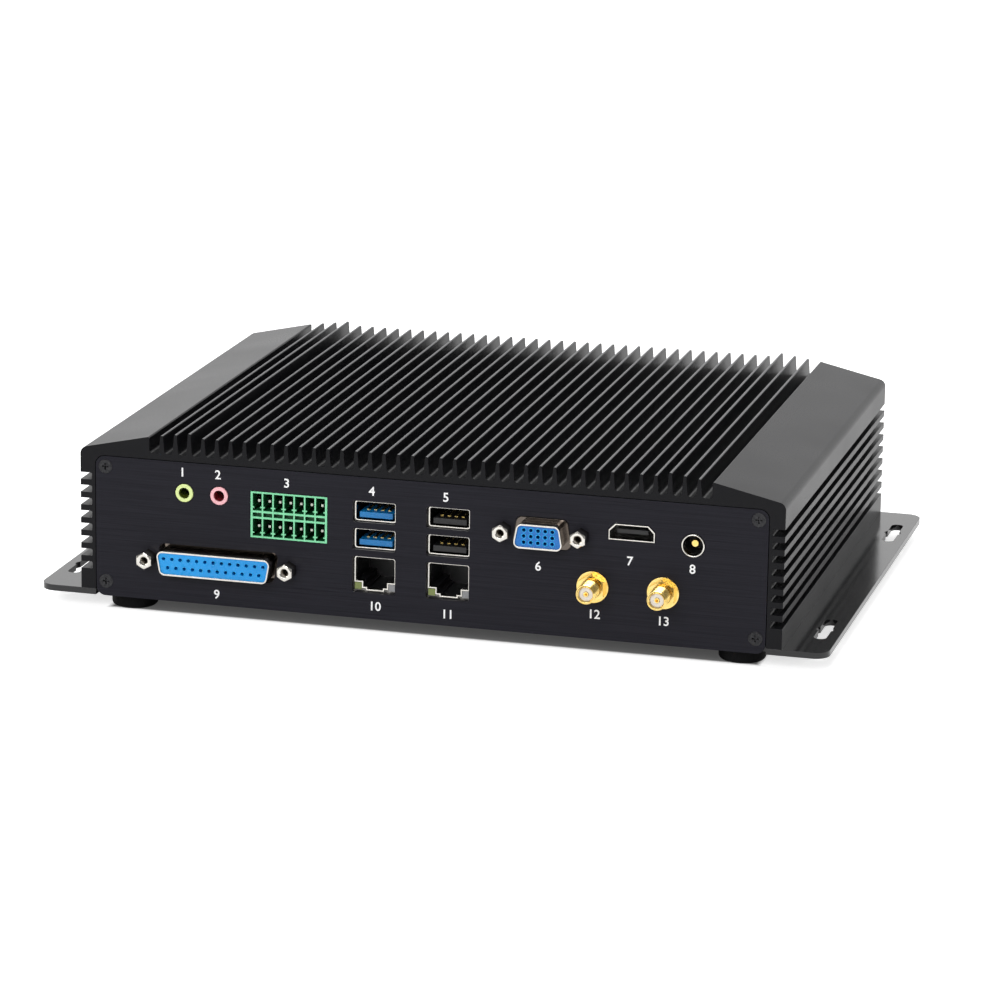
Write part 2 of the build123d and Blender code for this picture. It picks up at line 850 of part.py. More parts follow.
# Stacked sockets: a folded metal shield round a moulded core
def stack_shield(x):
    """The shield of one stack, open at its back, with its mouths drawn out into the panel."""
    low = base_top + stack_low_above
    with BuildPart() as shield:
        with BuildSketch(front_plane(panel_thickness)):
            with Locations((x, low)):
                Rectangle(stack_width, board_low - low, align=(Align.CENTER, Align.MIN))
        extrude(amount=-stack_depth)
        with BuildSketch(front_plane(panel_thickness + stack_sheet)):
            with Locations((x, low + stack_sheet)):
                Rectangle(
                    stack_width - 2 * stack_sheet,
                    board_low - low - 2 * stack_sheet,
                    align=(Align.CENTER, Align.MIN),
                )
        extrude(amount=-stack_depth, mode=Mode.SUBTRACT)
        with BuildSketch(front_plane(mouth_recess)):
            with Locations(*[(x, base_top + above + port_lift) for above in port_above]):
                RectangleRounded(
                    mouth_width + 2 * mouth_wall, port_height + 2 * mouth_wall, port_cut_radius + mouth_wall
                )
            with Locations((x, 0)):
                add(network_rim)
        extrude(amount=-(panel_thickness - mouth_recess))
        with BuildSketch(front_plane(mouth_recess)):
            with Locations(*[(x, base_top + above + port_lift) for above in port_above]):
                RectangleRounded(mouth_width, port_height, port_cut_radius)
            with Locations((x, 0)):
                add(network_mouth)
            with Locations(*[(x + side * lamp_from_middle, base_top + lamp_above) for side in (-1, 1)]):
                Rectangle(lamp_width, lamp_height)
        extrude(amount=-(panel_thickness + stack_sheet - mouth_recess), mode=Mode.SUBTRACT)
    return shield


def stack_core(x):
    """The moulded core of one stack, with a cavity behind each window."""
    low = base_top + stack_low_above + stack_sheet
    with BuildPart() as core:
        with BuildSketch(front_plane(panel_thickness + stack_sheet)):
            with Locations((x, low)):
                Rectangle(
                    stack_width - 2 * stack_sheet,
                    board_low - stack_sheet - low,
                    align=(Align.CENTER, Align.MIN),
                )
        extrude(amount=-(stack_depth - stack_sheet))
        with BuildSketch(front_plane(panel_thickness + stack_sheet)):
            with Locations(*[(x, base_top + above + port_lift) for above in port_above]):
                RectangleRounded(mouth_width, port_height, port_cut_radius)
        extrude(amount=-(port_depth - stack_sheet), mode=Mode.SUBTRACT)
        with BuildSketch(front_plane(panel_thickness + stack_sheet)):
            with Locations((x, 0)):
                add(network_mouth)
        extrude(amount=-(network_depth - stack_sheet), mode=Mode.SUBTRACT)
        with BuildSketch(front_plane(panel_thickness + stack_sheet)):
            with Locations(*[(x + side * lamp_from_middle, base_top + lamp_above) for side in (-1, 1)]):
                Rectangle(lamp_width, lamp_height)
        extrude(amount=-(lamp_depth - stack_sheet), mode=Mode.SUBTRACT)
    return core


def stack_tongues(x):
    """The two tongues of one stack, turned contacts up."""
    with BuildPart() as tongues:
        with BuildSketch(front_plane(tongue_recess)):
            with Locations(*[(x, tongue_middle(above)) for above in port_above]):
                Rectangle(tongue_width, tongue_thickness)
        extrude(amount=-(panel_thickness + port_depth - tongue_recess))
    return tongues


def tongue_middle(above):
    """Height of the middle of the tongue in the port at this height."""
    return base_top + above + port_lift - port_height / 2 + tongue_lift + tongue_thickness / 2


for side_name, stack_x in zip(("left", "right"), stack_middles):
    finish(stack_shield(stack_x), f"{side_name}_socket_shield")
    finish(stack_core(stack_x), f"{side_name}_socket_core")
    finish(stack_tongues(stack_x), f"{side_name}_socket_tongues")

with BuildPart() as socket_contacts:
    contact_tops = [
        (x + (index - (contact_count - 1) / 2) * contact_pitch, tongue_middle(above) + tongue_thickness / 2)
        for x in stack_middles
        for above in port_above
        for index in range(contact_count)
    ]
    with BuildSketch(front_plane(contact_recess)):
        with Locations(*contact_tops):
            Rectangle(contact_width, contact_thickness, align=(Align.CENTER, Align.MIN))
    extrude(amount=-contact_length)
finish(socket_contacts, "socket_contacts")

for lamp_name, side in (("link_lamps", -1), ("traffic_lamps", 1)):
    with BuildPart() as lamps:
        with BuildSketch(front_plane(lamp_recess)):
            with Locations(*[(x + side * lamp_from_middle, base_top + lamp_above) for x in stack_middles]):
                Rectangle(lamp_width, lamp_height)
        extrude(amount=-(panel_thickness + lamp_depth - lamp_recess))
    finish(lamps, lamp_name)


# D-shaped ports
def d_shell(plane_at, places, outline, inner, foot, screw_pitch):
    """A flange behind the panel with the shell drawn out of it through the panel, for each place."""
    with BuildPart() as shell:
        with BuildSketch(plane_at(panel_thickness)):
            with Locations(*places):
                Rectangle(screw_pitch + 2 * d_flange_margin, d_flange_height)
                with GridLocations(screw_pitch, 0, 2, 1):
                    Circle(jackscrew_stud + thread_gap, mode=Mode.SUBTRACT)
        extrude(amount=-d_flange)
        with BuildSketch(plane_at(-d_proud)):
            with Locations(*places):
                add(outline)
        extrude(amount=-(d_proud + panel_thickness))
        with BuildSketch(plane_at(-video_collar_proud)):
            with Locations(*places):
                add(foot)
        extrude(amount=-(video_collar_proud + panel_thickness))
        with BuildSketch(plane_at(-d_proud)):
            with Locations(*places):
                add(inner)
        extrude(amount=-(d_proud + panel_thickness + d_flange), mode=Mode.SUBTRACT)
    return shell


def d_body(plane_at, places, inner, screw_pitch, floor_depth, block_height, holes):
    """The moulded insert of each place, with contact holes in its face and a block behind the flange."""
    behind = panel_thickness + d_flange
    with BuildPart() as body:
        with BuildSketch(plane_at(floor_depth - d_proud)):
            with Locations(*places):
                add(inner)
        extrude(amount=-(d_proud + behind - floor_depth))
        with BuildSketch(plane_at(behind)):
            with Locations(*[(x, z - d_body_height / 2) for x, z in places]):
                Rectangle(
                    screw_pitch - 2 * d_flange_margin, block_height, align=(Align.CENTER, Align.MIN)
                )
        extrude(amount=-d_body_depth)
        if holes:
            with BuildSketch(plane_at(floor_depth - d_proud)):
                with Locations(*holes):
                    Circle(d_hole_radius)
            extrude(amount=-d_hole_depth, mode=Mode.SUBTRACT)
    return body


def row_places(centre, rows, pitch):
    """Contact places round a centre, from the count and the height of each row."""
    return [
        (centre[0] + (index - (count - 1) / 2) * pitch, centre[1] + height)
        for count, height in rows
        for index in range(count)
    ]


parallel_rows = [(parallel_long_row, d_row_pitch / 2), (parallel_long_row - 1, -d_row_pitch / 2)]
finish(
    d_shell(
        front_plane,
        [parallel_centre],
        parallel_shell_outline,
        parallel_inner_outline,
        parallel_shell_outline,
        parallel_screw_pitch,
    ),
    "parallel_port_shell",
)
finish(
    d_body(
        front_plane,
        [parallel_centre],
        parallel_inner_outline,
        parallel_screw_pitch,
        d_rim,
        d_body_height,
        row_places(parallel_centre, parallel_rows, parallel_pin_pitch),
    ),
    "parallel_port_insert",
)

hung_block_height = board_low - (video_centre[1] - d_body_height / 2)
video_rows = [(video_row_length, row * video_row_pitch) for row in (-1, 0, 1)]
finish(
    d_shell(
        front_plane,
        [video_centre],
        video_shell_outline,
        video_inner_outline,
        video_collar_outline,
        video_screw_pitch,
    ),
    "video_port_shell",
)
finish(
    d_body(
        front_plane,
        [video_centre],
        video_inner_outline,
        video_screw_pitch,
        d_rim,
        hung_block_height,
        row_places(video_centre, video_rows, video_pin_pitch),
    ),
    "video_port_insert",
)

with BuildPart() as front_jackscrews:
    with Locations(front_plane()):
        for centre, pitch in ((parallel_centre, parallel_screw_pitch), (video_centre, video_screw_pitch)):
            with Locations(centre):
                with GridLocations(pitch, 0, 2, 1):
                    add(port_jackscrew)
finish(front_jackscrews, "front_jackscrews")

# Digital video socket: shell with a bracket up to the board, and a core with the tongue
with BuildPart() as digital_shell:
    with BuildSketch(front_plane()):
        add(digital_shell_outline)
    extrude(amount=-digital_depth)
    with BuildSketch(front_plane(digital_bracket_depth)):
        with Locations((digital_x, digital_middle)):
            Rectangle(
                digital_bracket_width, board_low - digital_middle, align=(Align.CENTER, Align.MIN)
            )
    extrude(amount=-(digital_depth - digital_bracket_depth))
    with BuildSketch(front_plane()):
        add(digital_inner_outline)
    extrude(amount=-digital_depth, mode=Mode.SUBTRACT)
finish(digital_shell, "digital_port_shell")

with BuildPart() as digital_core:
    with BuildSketch(front_plane(digital_stop)):
        add(digital_inner_outline)
    extrude(amount=-(digital_depth - digital_stop))
    with BuildSketch(front_plane(digital_tongue_recess)):
        with Locations((digital_x, digital_middle)):
            Rectangle(digital_tongue_width, digital_tongue_thickness)
    extrude(amount=-(digital_stop - digital_tongue_recess))
finish(digital_core, "digital_port_core")

# Power inlet: sleeve in the panel, body behind it and a pin down the bore
with BuildPart() as inlet_sleeve:
    with BuildSketch(front_plane(-sound_proud)):
        with Locations(inlet_centre):
            Circle(inlet_sleeve_radius)
            Circle(inlet_bore_radius, mode=Mode.SUBTRACT)
    extrude(amount=-(sound_proud + panel_thickness))
    fillet(inlet_sleeve.faces().sort_by(Axis.Y)[0].edges(), inlet_edge)
finish(inlet_sleeve, "power_inlet_sleeve")

with BuildPart() as inlet_body:
    with BuildSketch(front_plane(panel_thickness)):
        with Locations((inlet_x, board_low)):
            Rectangle(
                inlet_body_width,
                board_low - inlet_centre[1] + inlet_body_width / 2,
                align=(Align.CENTER, Align.MAX),
            )
    extrude(amount=-inlet_body_depth)
    with Locations(front_plane(panel_thickness)):
        with Locations(inlet_centre):
            Hole(inlet_bore_radius, depth=inlet_bore_depth - panel_thickness)
finish(inlet_body, "power_inlet_body")

with BuildPart() as inlet_pin:
    with BuildSketch(front_plane(inlet_pin_recess)):
        with Locations(inlet_centre):
            Circle(inlet_pin_radius)
    extrude(amount=-(inlet_bore_depth - inlet_pin_recess))
finish(inlet_pin, "power_inlet_pin")

# Antenna sockets: threaded through the panel, flange inside, washer and nut outside, and the
# thread for the lead relieved next to the nut
with BuildPart() as antenna_sockets:
    with BuildSketch(front_plane(-antenna_reach)):
        with Locations(*antenna_centres):
            Circle(antenna_thread_radius)
    extrude(amount=-(antenna_reach + panel_thickness))
    with BuildSketch(front_plane(-antenna_washer - antenna_nut_height)):
        with Locations(*antenna_centres):
            Circle(antenna_thread_radius)
            Circle(antenna_relief_radius, mode=Mode.SUBTRACT)
    extrude(amount=antenna_relief, mode=Mode.SUBTRACT)
    with BuildSketch(front_plane(panel_thickness)):
        with Locations(*antenna_centres):
            Circle(antenna_flange_radius)
    extrude(amount=-antenna_flange)
    with BuildSketch(front_plane(panel_thickness + antenna_flange)):
        with Locations(*antenna_centres):
            Circle(antenna_tail_radius)
    extrude(amount=-antenna_tail)
    with Locations(front_plane(-antenna_reach)):
        with Locations(*antenna_centres):
            Hole(antenna_bore_radius, depth=antenna_bore_depth)
finish(antenna_sockets, "antenna_sockets")

with BuildPart() as antenna_insulators:
    with BuildSketch(front_plane(antenna_insulator_recess - antenna_reach)):
        with Locations(*antenna_centres):
            Circle(antenna_bore_radius - thread_gap)
            Circle(antenna_contact_radius + thread_gap, mode=Mode.SUBTRACT)
    extrude(amount=-(antenna_bore_depth - antenna_insulator_recess))
finish(antenna_insulators, "antenna_insulators")

with BuildPart() as antenna_contacts:
    with BuildSketch(front_plane(antenna_contact_recess - antenna_reach)):
        with Locations(*antenna_centres):
            Circle(antenna_contact_radius)
    extrude(amount=-(antenna_bore_depth - antenna_contact_recess))
    with Locations(front_plane(antenna_contact_recess - antenna_reach)):
        with Locations(*antenna_centres):
            Hole(antenna_contact_bore, depth=antenna_contact_bore_depth)
finish(antenna_contacts, "antenna_contacts")

with BuildPart() as antenna_washers:
    with BuildSketch(front_plane()):
        with Locations(*antenna_centres):
            Circle(antenna_washer_radius)
            Circle(antenna_thread_radius + antenna_gap, mode=Mode.SUBTRACT)
    extrude(amount=antenna_washer)
finish(antenna_washers, "antenna_washers")

with BuildPart() as antenna_nuts:
    with BuildSketch(front_plane(-antenna_washer)):
        with Locations(*antenna_centres):
            RegularPolygon(antenna_nut_flats / 2, 6, major_radius=False, rotation=90)
            Circle(antenna_thread_radius + thread_gap, mode=Mode.SUBTRACT)
    extrude(amount=antenna_nut_height)
finish(antenna_nuts, "antenna_nuts")

# Serial ports, placed to the right as seen from behind
finish(
    d_shell(
        rear_plane,
        serial_centres,
        serial_shell_outline,
        serial_inner_outline,
        serial_shell_outline,
        serial_screw_pitch,
    ),
    "serial_port_shells",
)
finish(
    d_body(
        rear_plane,
        serial_centres,
        serial_inner_outline,
        serial_screw_pitch,
        serial_floor_depth,
        board_low - (serial_centres[0][1] - d_body_height / 2),
        [],
    ),
    "serial_port_inserts",
)

serial_rows = [(serial_long_row, -d_row_pitch / 2), (serial_long_row - 1, d_row_pitch / 2)]
with BuildPart() as serial_pins:
    with BuildSketch(rear_plane(serial_floor_depth - d_proud)):
        for centre in serial_centres:
            with Locations(*row_places(centre, serial_rows, serial_pin_pitch)):
                Circle(serial_pin_radius)
    extrude(amount=serial_pin_length)
finish(serial_pins, "serial_port_pins")

with BuildPart() as rear_jackscrews:
    with Locations(rear_plane()):
        for centre in serial_centres:
            with Locations(centre):
                with GridLocations(serial_screw_pitch, 0, 2, 1):
                    add(port_jackscrew)
finish(rear_jackscrews, "rear_jackscrews")

# Power button: fixed bezel with a chamber, and the cap that travels in it
with BuildPart() as button_bezel:
    with BuildSketch(rear_plane(-button_flange)):
        with Locations(button_centre):
            Circle(button_flange_radius)
    extrude(amount=-button_flange)
    chamfer(
        button_bezel.faces().sort_by(Axis.Y)[-1].edges(),
        button_flange_edge,
    )
    with BuildSketch(rear_plane()):
        with Locations(button_centre):
            Circle(button_barrel_radius)
    extrude(amount=-button_barrel_length)
    with Locations(rear_plane(-button_flange)):
        with Locations(button_centre):
            Hole(button_lip_radius, depth=button_lip)
    with Locations(rear_plane(button_lip - button_flange)):
        with Locations(button_centre):
            Hole(button_bore_radius, depth=button_bore_depth)
finish(button_bezel, "power_button_bezel")

cap_skirt_face = button_lip + button_cap_rest - button_flange
with BuildPart() as button_cap:
    with BuildSketch(rear_plane(-button_flange - button_cap_proud)):
        with Locations(button_centre):
            Circle(button_cap_radius)
    extrude(amount=-(button_cap_proud + button_flange + cap_skirt_face))
    fillet(button_cap.faces().sort_by(Axis.Y)[-1].edges(), button_cap_edge)
    with BuildSketch(rear_plane(cap_skirt_face)):
        with Locations(button_centre):
            Circle(button_cap_skirt_radius)
    extrude(amount=-button_cap_skirt)
finish(button_cap, "power_button_cap")

with BuildPart() as button_nut:
    with BuildSketch(rear_plane(panel_thickness)):
        with Locations(button_centre):
            RegularPolygon(button_nut_flats / 2, 6, major_radius=False)
            Circle(button_barrel_radius + thread_gap, mode=Mode.SUBTRACT)
    extrude(amount=-button_nut_height)
finish(button_nut, "power_button_nut")

# Status lights, domed outside and flanged inside
with BuildPart() as status_lights:
    with BuildSketch(rear_plane(-light_proud)):
        with Locations(*light_places):
            Circle(light_radius)
    extrude(amount=-(light_proud + panel_thickness + light_length))
    fillet(status_lights.faces().group_by(Axis.Y)[-1].edges(), light_dome)
    with BuildSketch(rear_plane(panel_thickness)):
        with Locations(*light_places):
            Circle(light_flange_radius)
    extrude(amount=-light_flange)
finish(status_lights, "status_lights")

# Mainboard with its spacers and screws
radio_mouth_y = mid_y + radio_y - radio_socket_depth / 2
radio_top = board_low - radio_drop
radio_post_y = radio_mouth_y + radio_insert - radio_length + radio_post_inset
with BuildPart() as mainboard:
    with BuildSketch(Plane.XY.offset(board_low)):
        with Locations((0, mid_y)):
            Rectangle(board_width, board_rear - board_front)
        with Locations(*standoff_places):
            Circle(board_screw_radius + screw_gap, mode=Mode.SUBTRACT)
        with Locations((radio_x, radio_post_y)):
            Circle(board_screw_radius + thread_gap, mode=Mode.SUBTRACT)
    extrude(amount=board_thickness)
finish(mainboard, "mainboard")

with BuildPart() as board_spacers:
    with BuildSketch(Plane.XY.offset(board_top)):
        with Locations(*standoff_places):
            Circle(standoff_radius)
            Circle(board_screw_radius + screw_gap, mode=Mode.SUBTRACT)
    extrude(amount=ceiling - board_top)
    with BuildSketch(Plane.XY.offset(board_low)):
        with Locations((radio_x, radio_post_y)):
            Circle(standoff_radius)
            Circle(board_screw_radius + screw_gap, mode=Mode.SUBTRACT)
    extrude(amount=-radio_drop)
finish(board_spacers, "board_spacers")

board_screw_length = ceiling - board_low + board_screw_bite
board_screw = pan_screw(board_screw_radius, board_screw_head_radius, board_screw_head, board_screw_length)
radio_screw_length = radio_thickness + radio_drop + board_thickness
radio_screw = pan_screw(board_screw_radius, board_screw_head_radius, board_screw_head, radio_screw_length)
with BuildPart() as board_screws:
    with Locations(Plane.XY.offset(board_low).rotated((180, 0, 0))):
        with Locations(*[(x, -y) for x, y in standoff_places]):
            add(board_screw)
    with Locations(Plane.XY.offset(radio_top - radio_thickness).rotated((180, 0, 0))):
        with Locations((radio_x, -radio_post_y)):
            add(radio_screw)
finish(board_screws, "board_screws")

# Processor on top of the board, with a block that leads its heat to the ceiling
with BuildPart() as processor:
    with BuildSketch(Plane.XY.offset(board_top)):
        with Locations((0, mid_y + processor_y)):
            Rectangle(processor_size, processor_size)
    extrude(amount=processor_height)
finish(processor, "processor")

with BuildPart() as heat_block:
    with BuildSketch(Plane.XY.offset(board_top + processor_height)):
        with Locations((0, mid_y + processor_y)):
            Rectangle(heat_block_size, heat_block_size)
    extrude(amount=ceiling - board_top - processor_height)
finish(heat_block, "heat_block")

# Memory: a socket with two arms and a module parallel to the board
memory_mouth_y = mid_y + memory_y - memory_socket_width / 2
module_top = board_low - memory_module_drop
arm_width = (memory_socket_length - memory_module_length) / 2 - slot_gap
arm_length = memory_module_width - memory_module_insert
with BuildPart() as memory_socket:
    with Locations((memory_x, memory_mouth_y, board_low)):
        Box(
            memory_socket_length,
            memory_socket_width,
            memory_socket_height,
            align=(Align.CENTER, Align.MIN, Align.MAX),
        )
    for side, align_x in ((-1, Align.MIN), (1, Align.MAX)):
        with Locations((memory_x + side * memory_socket_length / 2, memory_mouth_y, board_low)):
            Box(
                arm_width,
                arm_length,
                memory_module_drop + memory_module_thickness,
                align=(align_x, Align.MAX, Align.MAX),
            )
    with Locations((memory_x, memory_mouth_y, module_top + slot_gap)):
        Box(
            memory_module_length + 2 * slot_gap,
            memory_module_insert,
            memory_module_thickness + 2 * slot_gap,
            align=(Align.CENTER, Align.MIN, Align.MAX),
            mode=Mode.SUBTRACT,
        )
finish(memory_socket, "memory_socket")

with BuildPart() as memory_module:
    with Locations((memory_x, memory_mouth_y + memory_module_insert, module_top)):
        Box(
            memory_module_length,
            memory_module_width,
            memory_module_thickness,
            align=(Align.CENTER, Align.MAX, Align.MAX),
        )
finish(memory_module, "memory_module")

with BuildPart() as memory_chips:
    chip_y = memory_mouth_y + memory_module_insert - memory_module_width / 2
    with Locations((memory_x, chip_y, module_top - memory_module_thickness)):
        with GridLocations(memory_chip_pitch, 0, memory_chip_count, 1):
            Box(
                memory_chip_length,
                memory_chip_width,
                memory_chip_height,
                align=(Align.CENTER, Align.CENTER, Align.MAX),
            )
finish(memory_chips, "memory_chips")

# Radio card in its socket, its free end screwed to a spacer
with BuildPart() as radio_socket:
    with Locations((radio_x, radio_mouth_y, board_low)):
        Box(
            radio_width,
            radio_socket_depth,
            radio_socket_height,
            align=(Align.CENTER, Align.MIN, Align.MAX),
        )
    with Locations((radio_x, radio_mouth_y, radio_top + slot_gap)):
        Box(
            radio_width,
            radio_insert,
            radio_thickness + 2 * slot_gap,
            align=(Align.CENTER, Align.MIN, Align.MAX),
            mode=Mode.SUBTRACT,
        )
finish(radio_socket, "radio_socket")

with BuildPart() as radio_card:
    with BuildSketch(Plane.XY.offset(radio_top)):
        with Locations((radio_x, radio_mouth_y + radio_insert)):
            Rectangle(radio_width, radio_length, align=(Align.CENTER, Align.MAX))
        with Locations((radio_x, radio_post_y)):
            Circle(board_screw_radius + screw_gap, mode=Mode.SUBTRACT)
    extrude(amount=-radio_thickness)
finish(radio_card, "radio_card")

with BuildPart() as radio_can:
    can_y = radio_mouth_y + radio_insert - radio_length / 2
    with Locations((radio_x, can_y, radio_top - radio_thickness)):
        Box(
            radio_can_width,
            radio_can_length,
            radio_can_height,
            align=(Align.CENTER, Align.CENTER, Align.MAX),
        )
finish(radio_can, "radio_can")

# Clock cell in a cup that opens downwards
cell_middle = (cell_x, mid_y + cell_y)
with BuildPart() as cell_holder:
    with BuildSketch(Plane.XY.offset(board_low)):
        with Locations(cell_middle):
            Circle(cell_radius + cell_gap + cell_holder_wall)
    extrude(amount=-(cell_holder_floor + cell_height))
    with BuildSketch(Plane.XY.offset(board_low - cell_holder_floor)):
        with Locations(cell_middle):
            Circle(cell_radius + cell_gap)
    extrude(amount=-cell_height, mode=Mode.SUBTRACT)
finish(cell_holder, "cell_holder")

with BuildPart() as clock_cell:
    with BuildSketch(Plane.XY.offset(board_low - cell_holder_floor)):
        with Locations(cell_middle):
            Circle(cell_radius)
    extrude(amount=-cell_height)
finish(clock_cell, "clock_cell")

# Drive on the base sheet, with the recess for its plug and four screws from below
with BuildPart() as drive:
    with BuildSketch(Plane.XY.offset(base_top)):
        with Locations((0, mid_y)):
            RectangleRounded(drive_length, drive_width, drive_radius)
    extrude(amount=drive_height)
    with Locations((drive_length / 2, mid_y, base_top + drive_height / 2)):
        Box(
            drive_plug_depth,
            drive_plug_width,
            drive_plug_height,
            align=(Align.MAX, Align.CENTER, Align.CENTER),
            mode=Mode.SUBTRACT,
        )
    with Locations(Plane.XY.offset(base_top).rotated((180, 0, 0))):
        with Locations(*[(x, -y) for x, y in drive_screw_places]):
            Hole(
                sheet_screw_radius + thread_gap,
                depth=drive_screw_length - base_thickness + thread_tail,
            )
finish(drive, "drive")

with BuildPart() as drive_screws:
    with Locations(Plane.XY.offset(base_low).rotated((180, 0, 0))):
        with Locations(*[(x, -y) for x, y in drive_screw_places]):
            add(drive_screw)
finish(drive_screws, "drive_screws")
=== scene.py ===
"""Looks of the fanless industrial computer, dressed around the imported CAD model."""
from math import cos, pi, radians, sin

import bmesh
import bpy
from mathutils import Matrix, Vector


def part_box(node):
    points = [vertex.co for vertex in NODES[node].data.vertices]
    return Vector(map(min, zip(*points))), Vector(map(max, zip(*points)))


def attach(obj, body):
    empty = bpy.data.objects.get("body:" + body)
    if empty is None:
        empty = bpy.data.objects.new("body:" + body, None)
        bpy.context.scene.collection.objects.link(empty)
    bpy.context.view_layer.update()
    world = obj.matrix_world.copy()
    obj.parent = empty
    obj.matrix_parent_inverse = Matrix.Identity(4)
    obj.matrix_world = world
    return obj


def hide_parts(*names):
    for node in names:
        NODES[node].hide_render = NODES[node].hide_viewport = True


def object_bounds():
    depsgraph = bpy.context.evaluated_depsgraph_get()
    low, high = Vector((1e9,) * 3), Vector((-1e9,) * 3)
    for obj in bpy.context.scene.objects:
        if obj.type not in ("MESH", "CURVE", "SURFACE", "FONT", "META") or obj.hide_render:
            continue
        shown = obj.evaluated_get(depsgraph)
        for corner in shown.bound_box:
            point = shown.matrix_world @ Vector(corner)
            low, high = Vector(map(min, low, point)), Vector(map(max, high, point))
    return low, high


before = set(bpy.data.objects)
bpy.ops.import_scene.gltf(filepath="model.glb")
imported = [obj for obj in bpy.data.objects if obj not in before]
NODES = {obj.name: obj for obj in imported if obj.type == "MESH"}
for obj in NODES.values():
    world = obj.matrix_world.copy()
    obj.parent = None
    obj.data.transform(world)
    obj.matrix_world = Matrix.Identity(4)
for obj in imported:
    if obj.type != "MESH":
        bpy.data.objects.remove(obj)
CAD_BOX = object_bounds()
MM = 0.001
CASE = "case"
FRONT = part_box("front_panel")[0].y
SHEET_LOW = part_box("base_sheet")[0].z
FIN_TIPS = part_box("housing")[1].z

# Camera, fitted to the photograph: place in metres and angles in degrees
CAMERA_PLACE = (0.36205, -1.38397, 0.40108)
CAMERA_YAW = 14.59
CAMERA_PITCH = 14.76
CAMERA_ROLL = 0.933
CAMERA_LENS = 159.75
CAMERA_SENSOR = 36.0
CAMERA_NEAR = 0.01
CAMERA_FAR = 50

# Grain of the metals and mouldings: noise scale, detail and depth
EVEN = (1.0, 1.0, 1.0)
ALONG_X = (0.012, 1.0, 1.0)
CLOUD_DETAIL = 2.0
METAL_CLOUD = 28.0
MOULDED_CLOUD = 60.0
MOULDED_SPREAD = 0.08
MOULDED_DEPTH = 0.03 * MM
BEVEL_SAMPLES = 4
LAMP_ROUGHNESS = 0.22
LAMP_GRAIN = 500.0
LAMP_BUMP = 0.05
LAMP_COAT = 0.6

# Sockets of the colour mix node
MIX_FIRST = 6
MIX_SECOND = 7
MIX_RESULT = 2

# Stretches of an axis over which painted light or shade blends in, from none to full: brighter on fins, rings
# and header, darker on shells
SHELL_RISE = (FRONT - 4.2 * MM, FRONT - 1.2 * MM)
FIN_RISE = (FIN_TIPS - 1.42 * MM, FIN_TIPS - 1.32 * MM)
RING_RISE = (FRONT + 0.35 * MM, FRONT)
HEADER_RISE = (FRONT + 0.5 * MM, FRONT)
UPWARD = (0.6, 0.8)

# Steps round a turned piece, the radius that stands for its axis, and the smallest distances
ROUND_STEPS = 64
AXIS_RADIUS = 0.0001 * MM
SAME_PLACE = 0.001 * MM
WELD = 0.002 * MM

# Jackscrews
JACK_STEPS = ROUND_STEPS * 3 // 2
JACK_FLATS = 4.9 * MM
JACK_LENGTH = 5.0 * MM
JACK_BORE = 1.2 * MM
JACK_BORE_DEPTH = 4.5 * MM
JACK_PITCH = 0.64 * MM
JACK_RIDGE = 0.16 * MM
JACK_SINK = 0.3 * MM
JACK_FACE = 0.88
JACK_SLOPE = 0.6
JACK_STUD = 1.4 * MM
JACK_CHAMFER_STEPS = 6

# Antenna sockets. One turn of the thread is (share of the pitch, 0 for root or 1 for crest).
THREAD_PITCH = 0.7 * MM
THREAD_TURN = ((0.0, 0), (0.2, 0), (0.45, 1), (0.7, 1))
THREAD_ROOT = 2.78 * MM
THREAD_CREST = 3.15 * MM
BARREL_REACH = 10.0 * MM
BARREL_BORE = 2.3 * MM
BARREL_BORE_DEPTH = 4.0 * MM
BARREL_EDGE = 0.2 * MM
BARREL_NECK = 6.0 * MM
NECK_RADIUS = 2.75 * MM
NECK_LENGTH = 0.8 * MM
FLANGE_RADIUS = 4.6 * MM
FLANGE = 2.0 * MM
TAIL_RADIUS = 2.0 * MM

# Rims round the contact holes of the two blue inserts
HOLE_RADIUS = 0.6 * MM
COLLAR_WIDTH = 0.3 * MM
COLLAR_PROUD = 0.12 * MM
COLLAR_ROUND = 0.3
COLLAR_STEPS = 24
PARALLEL_PITCH = 2.77 * MM
PARALLEL_ROW = 1.42 * MM
VIDEO_PITCH = 2.29 * MM
VIDEO_ROW = 1.98 * MM

# Marks beside the sockets: plain numbers, their middle in millimetres from the middle of the
# object and from the underside of the base sheet. Font size is 1.37 times a figure's height.
MARK_HEIGHT = 3.0
MARK_PROUD = 0.03
MARK_WEIGHT = 0.06
MARK_CURVE_STEPS = 3
FONT_TO_FIGURE = 1.37
MARKS = (
    ("1", -80.6, 42.9), ("2", -68.7, 43.0), ("3", -45.8, 42.1), ("4", -17.7, 41.8),
    ("5", 6.5, 41.8), ("6", 36.7, 22.0), ("7", 66.1, 26.2), ("8", 86.1, 25.3),
    ("9", -69.1, 3.5), ("10", -16.4, 4.2), ("11", 7.5, 3.7), ("12", 55.0, 8.0),
    ("13", 77.2, 7.7),
)

# Floor: its colour outside and between the feet, and how much it glows to the camera, in
# polished metal, and between the feet
# The darker colour and weaker glow between the feet are a painted shadow.
FLOOR_SIZE = 8.0
FLOOR_COLOUR = 0.86
BENEATH_COLOUR = 0.18
FLOOR_LIFT = 0.7
MIRROR_LIFT = 0.35
BENEATH_LIFT = 0.065
BENEATH_FADE = 2 * MM

# World: an even part, and a part that is strongest low behind the object, with the ranges of
# direction over which it rises backwards and falls upwards
WORLD_PLAIN = 0.30
WORLD_BACK = 1.0
WORLD_RISE_BACK = (0.4, 0.85)
WORLD_FALL_UP = (0.3, 0.62)

